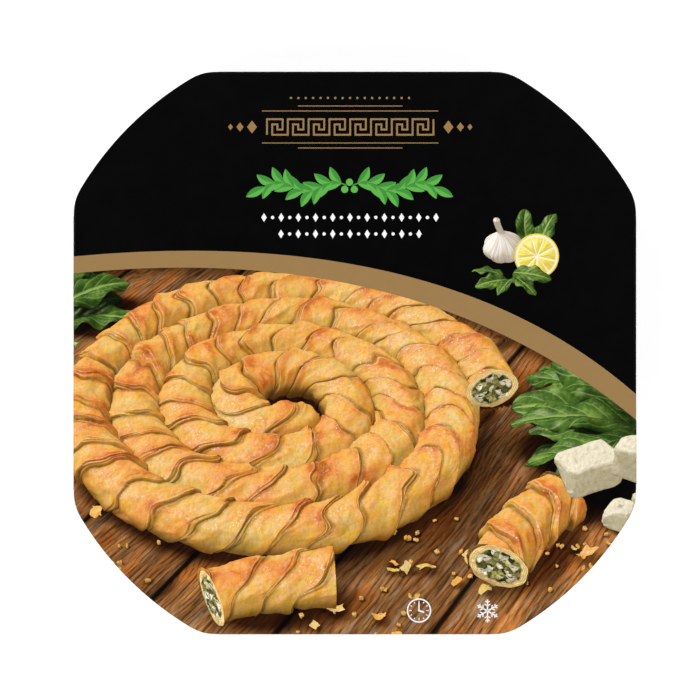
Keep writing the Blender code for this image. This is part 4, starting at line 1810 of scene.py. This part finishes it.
stage = {
    "lens": 150.0,
    "sensor": 36.0,
    "sightEnd": 50.0,
    "floorSize": 14.0,
    "floorGrey": 0.94,
    "floorGlow": (0.315, 0.95),  # as for a picture on pure white, near the pack and far off
    "glowReach": (0.8, 2.2),  # how far that is
    "ambient": 0.3,
    "darkAbove": 0.15,  # height of a direction, 1 straight up
    "whiteBelow": (0.075, 0.125),  # heights between which a white backdrop ends
    "lampPower": 9.4,
    "lampSize": 0.8,
    "lampDistance": 1.5,
    "lampElevation": math.radians(45),
    "lampTurns": (45, 135, 225, 315),
}


def addObject(name, data):
    thing = bpy.data.objects.new(name, data)
    bpy.context.scene.collection.objects.link(thing)
    return thing


def makeFloor():
    half = stage["floorSize"] / 2
    mesh = bpy.data.meshes.new("floor")
    corners = [(-half, -half, 0), (half, -half, 0), (half, half, 0), (-half, half, 0)]
    mesh.from_pydata(corners, [], [(0, 1, 2, 3)])
    material = bpy.data.materials.new("paleFloor")
    material.use_nodes = True
    tree = material.node_tree
    shader = tree.nodes["Principled BSDF"]
    shader.inputs["Base Color"].default_value = (*[stage["floorGrey"]] * 3, 1.0)
    shader.inputs["Roughness"].default_value = 0.9
    shader.inputs["Specular IOR Level"].default_value = 0.1
    shader.inputs["Emission Color"].default_value = (1.0, 1.0, 1.0, 1.0)
    away = addNode(tree, "VectorMath", {0: boardCoordinates(tree)}, operation="LENGTH").outputs["Value"]
    glow = spread(tree, away, *stage["floorGlow"], *stage["glowReach"])
    tree.links.new(glow, shader.inputs["Emission Strength"])
    mesh.materials.append(material)
    addObject("floor", mesh)


def makeLamps():
    # four discs round the pack, each turned to its middle
    rise, distance = stage["lampElevation"], stage["lampDistance"]
    for number, degrees in enumerate(stage["lampTurns"]):
        light = bpy.data.lights.new(f"softbox{number}", "AREA")
        light.shape = "DISK"
        light.size = stage["lampSize"]
        light.energy = stage["lampPower"]
        lamp = addObject(light.name, light)
        turn = math.radians(degrees)
        x, y = turned(distance * math.cos(rise), 0.0, turn)
        lamp.location = (x, y, distance * math.sin(rise))
        lamp.rotation_euler = (quarterTurn - rise, 0, turn + quarterTurn)


def makeSky():
    # dark overhead, so that the varnish mirrors nothing pale, and a white backdrop round the foot
    world = bpy.data.worlds.new("studio")
    world.use_nodes = True
    tree = world.node_tree
    background = tree.nodes["Background"]
    background.inputs["Color"].default_value = (1, 1, 1, 1)
    height = addNode(tree, "SeparateXYZ", {0: addNode(tree, "TexCoord").outputs["Generated"]}).outputs["Z"]
    inputs = {"Value": height, "From Min": stage["darkAbove"], "From Max": 1.0, "To Min": stage["ambient"],
              "To Max": 0.0}
    strength = addNode(tree, "MapRange", inputs, interpolation_type="SMOOTHSTEP").outputs[0]
    backdrop = spread(tree, height, 1.0, 0.0, *stage["whiteBelow"])
    tree.links.new(maths(tree, "MAXIMUM", strength, backdrop), background.inputs["Strength"])
    bpy.context.scene.world = world


def makeCamera():
    # straight above; the distance makes one photo pixel of the lid one pixel of the render
    data = bpy.data.cameras.new("photoCamera")
    data.lens = stage["lens"]
    data.sensor_width = stage["sensor"]
    data.clip_end = stage["sightEnd"]
    x, y = fromPx(photo["sidePx"] / 2, photo["sidePx"] / 2)
    distance = photo["sidePx"] * sheetScale * stage["lens"] / stage["sensor"]
    camera = addObject("photoCamera", data)
    camera.location = (float(x), float(y), carton["lidHeight"] + distance)
    bpy.context.scene.camera = camera


makeFloor()
makeLamps()
makeSky()
makeCamera()
bpy.context.scene.view_settings.view_transform = "Standard"
print("floor, lamps, sky and camera are set")
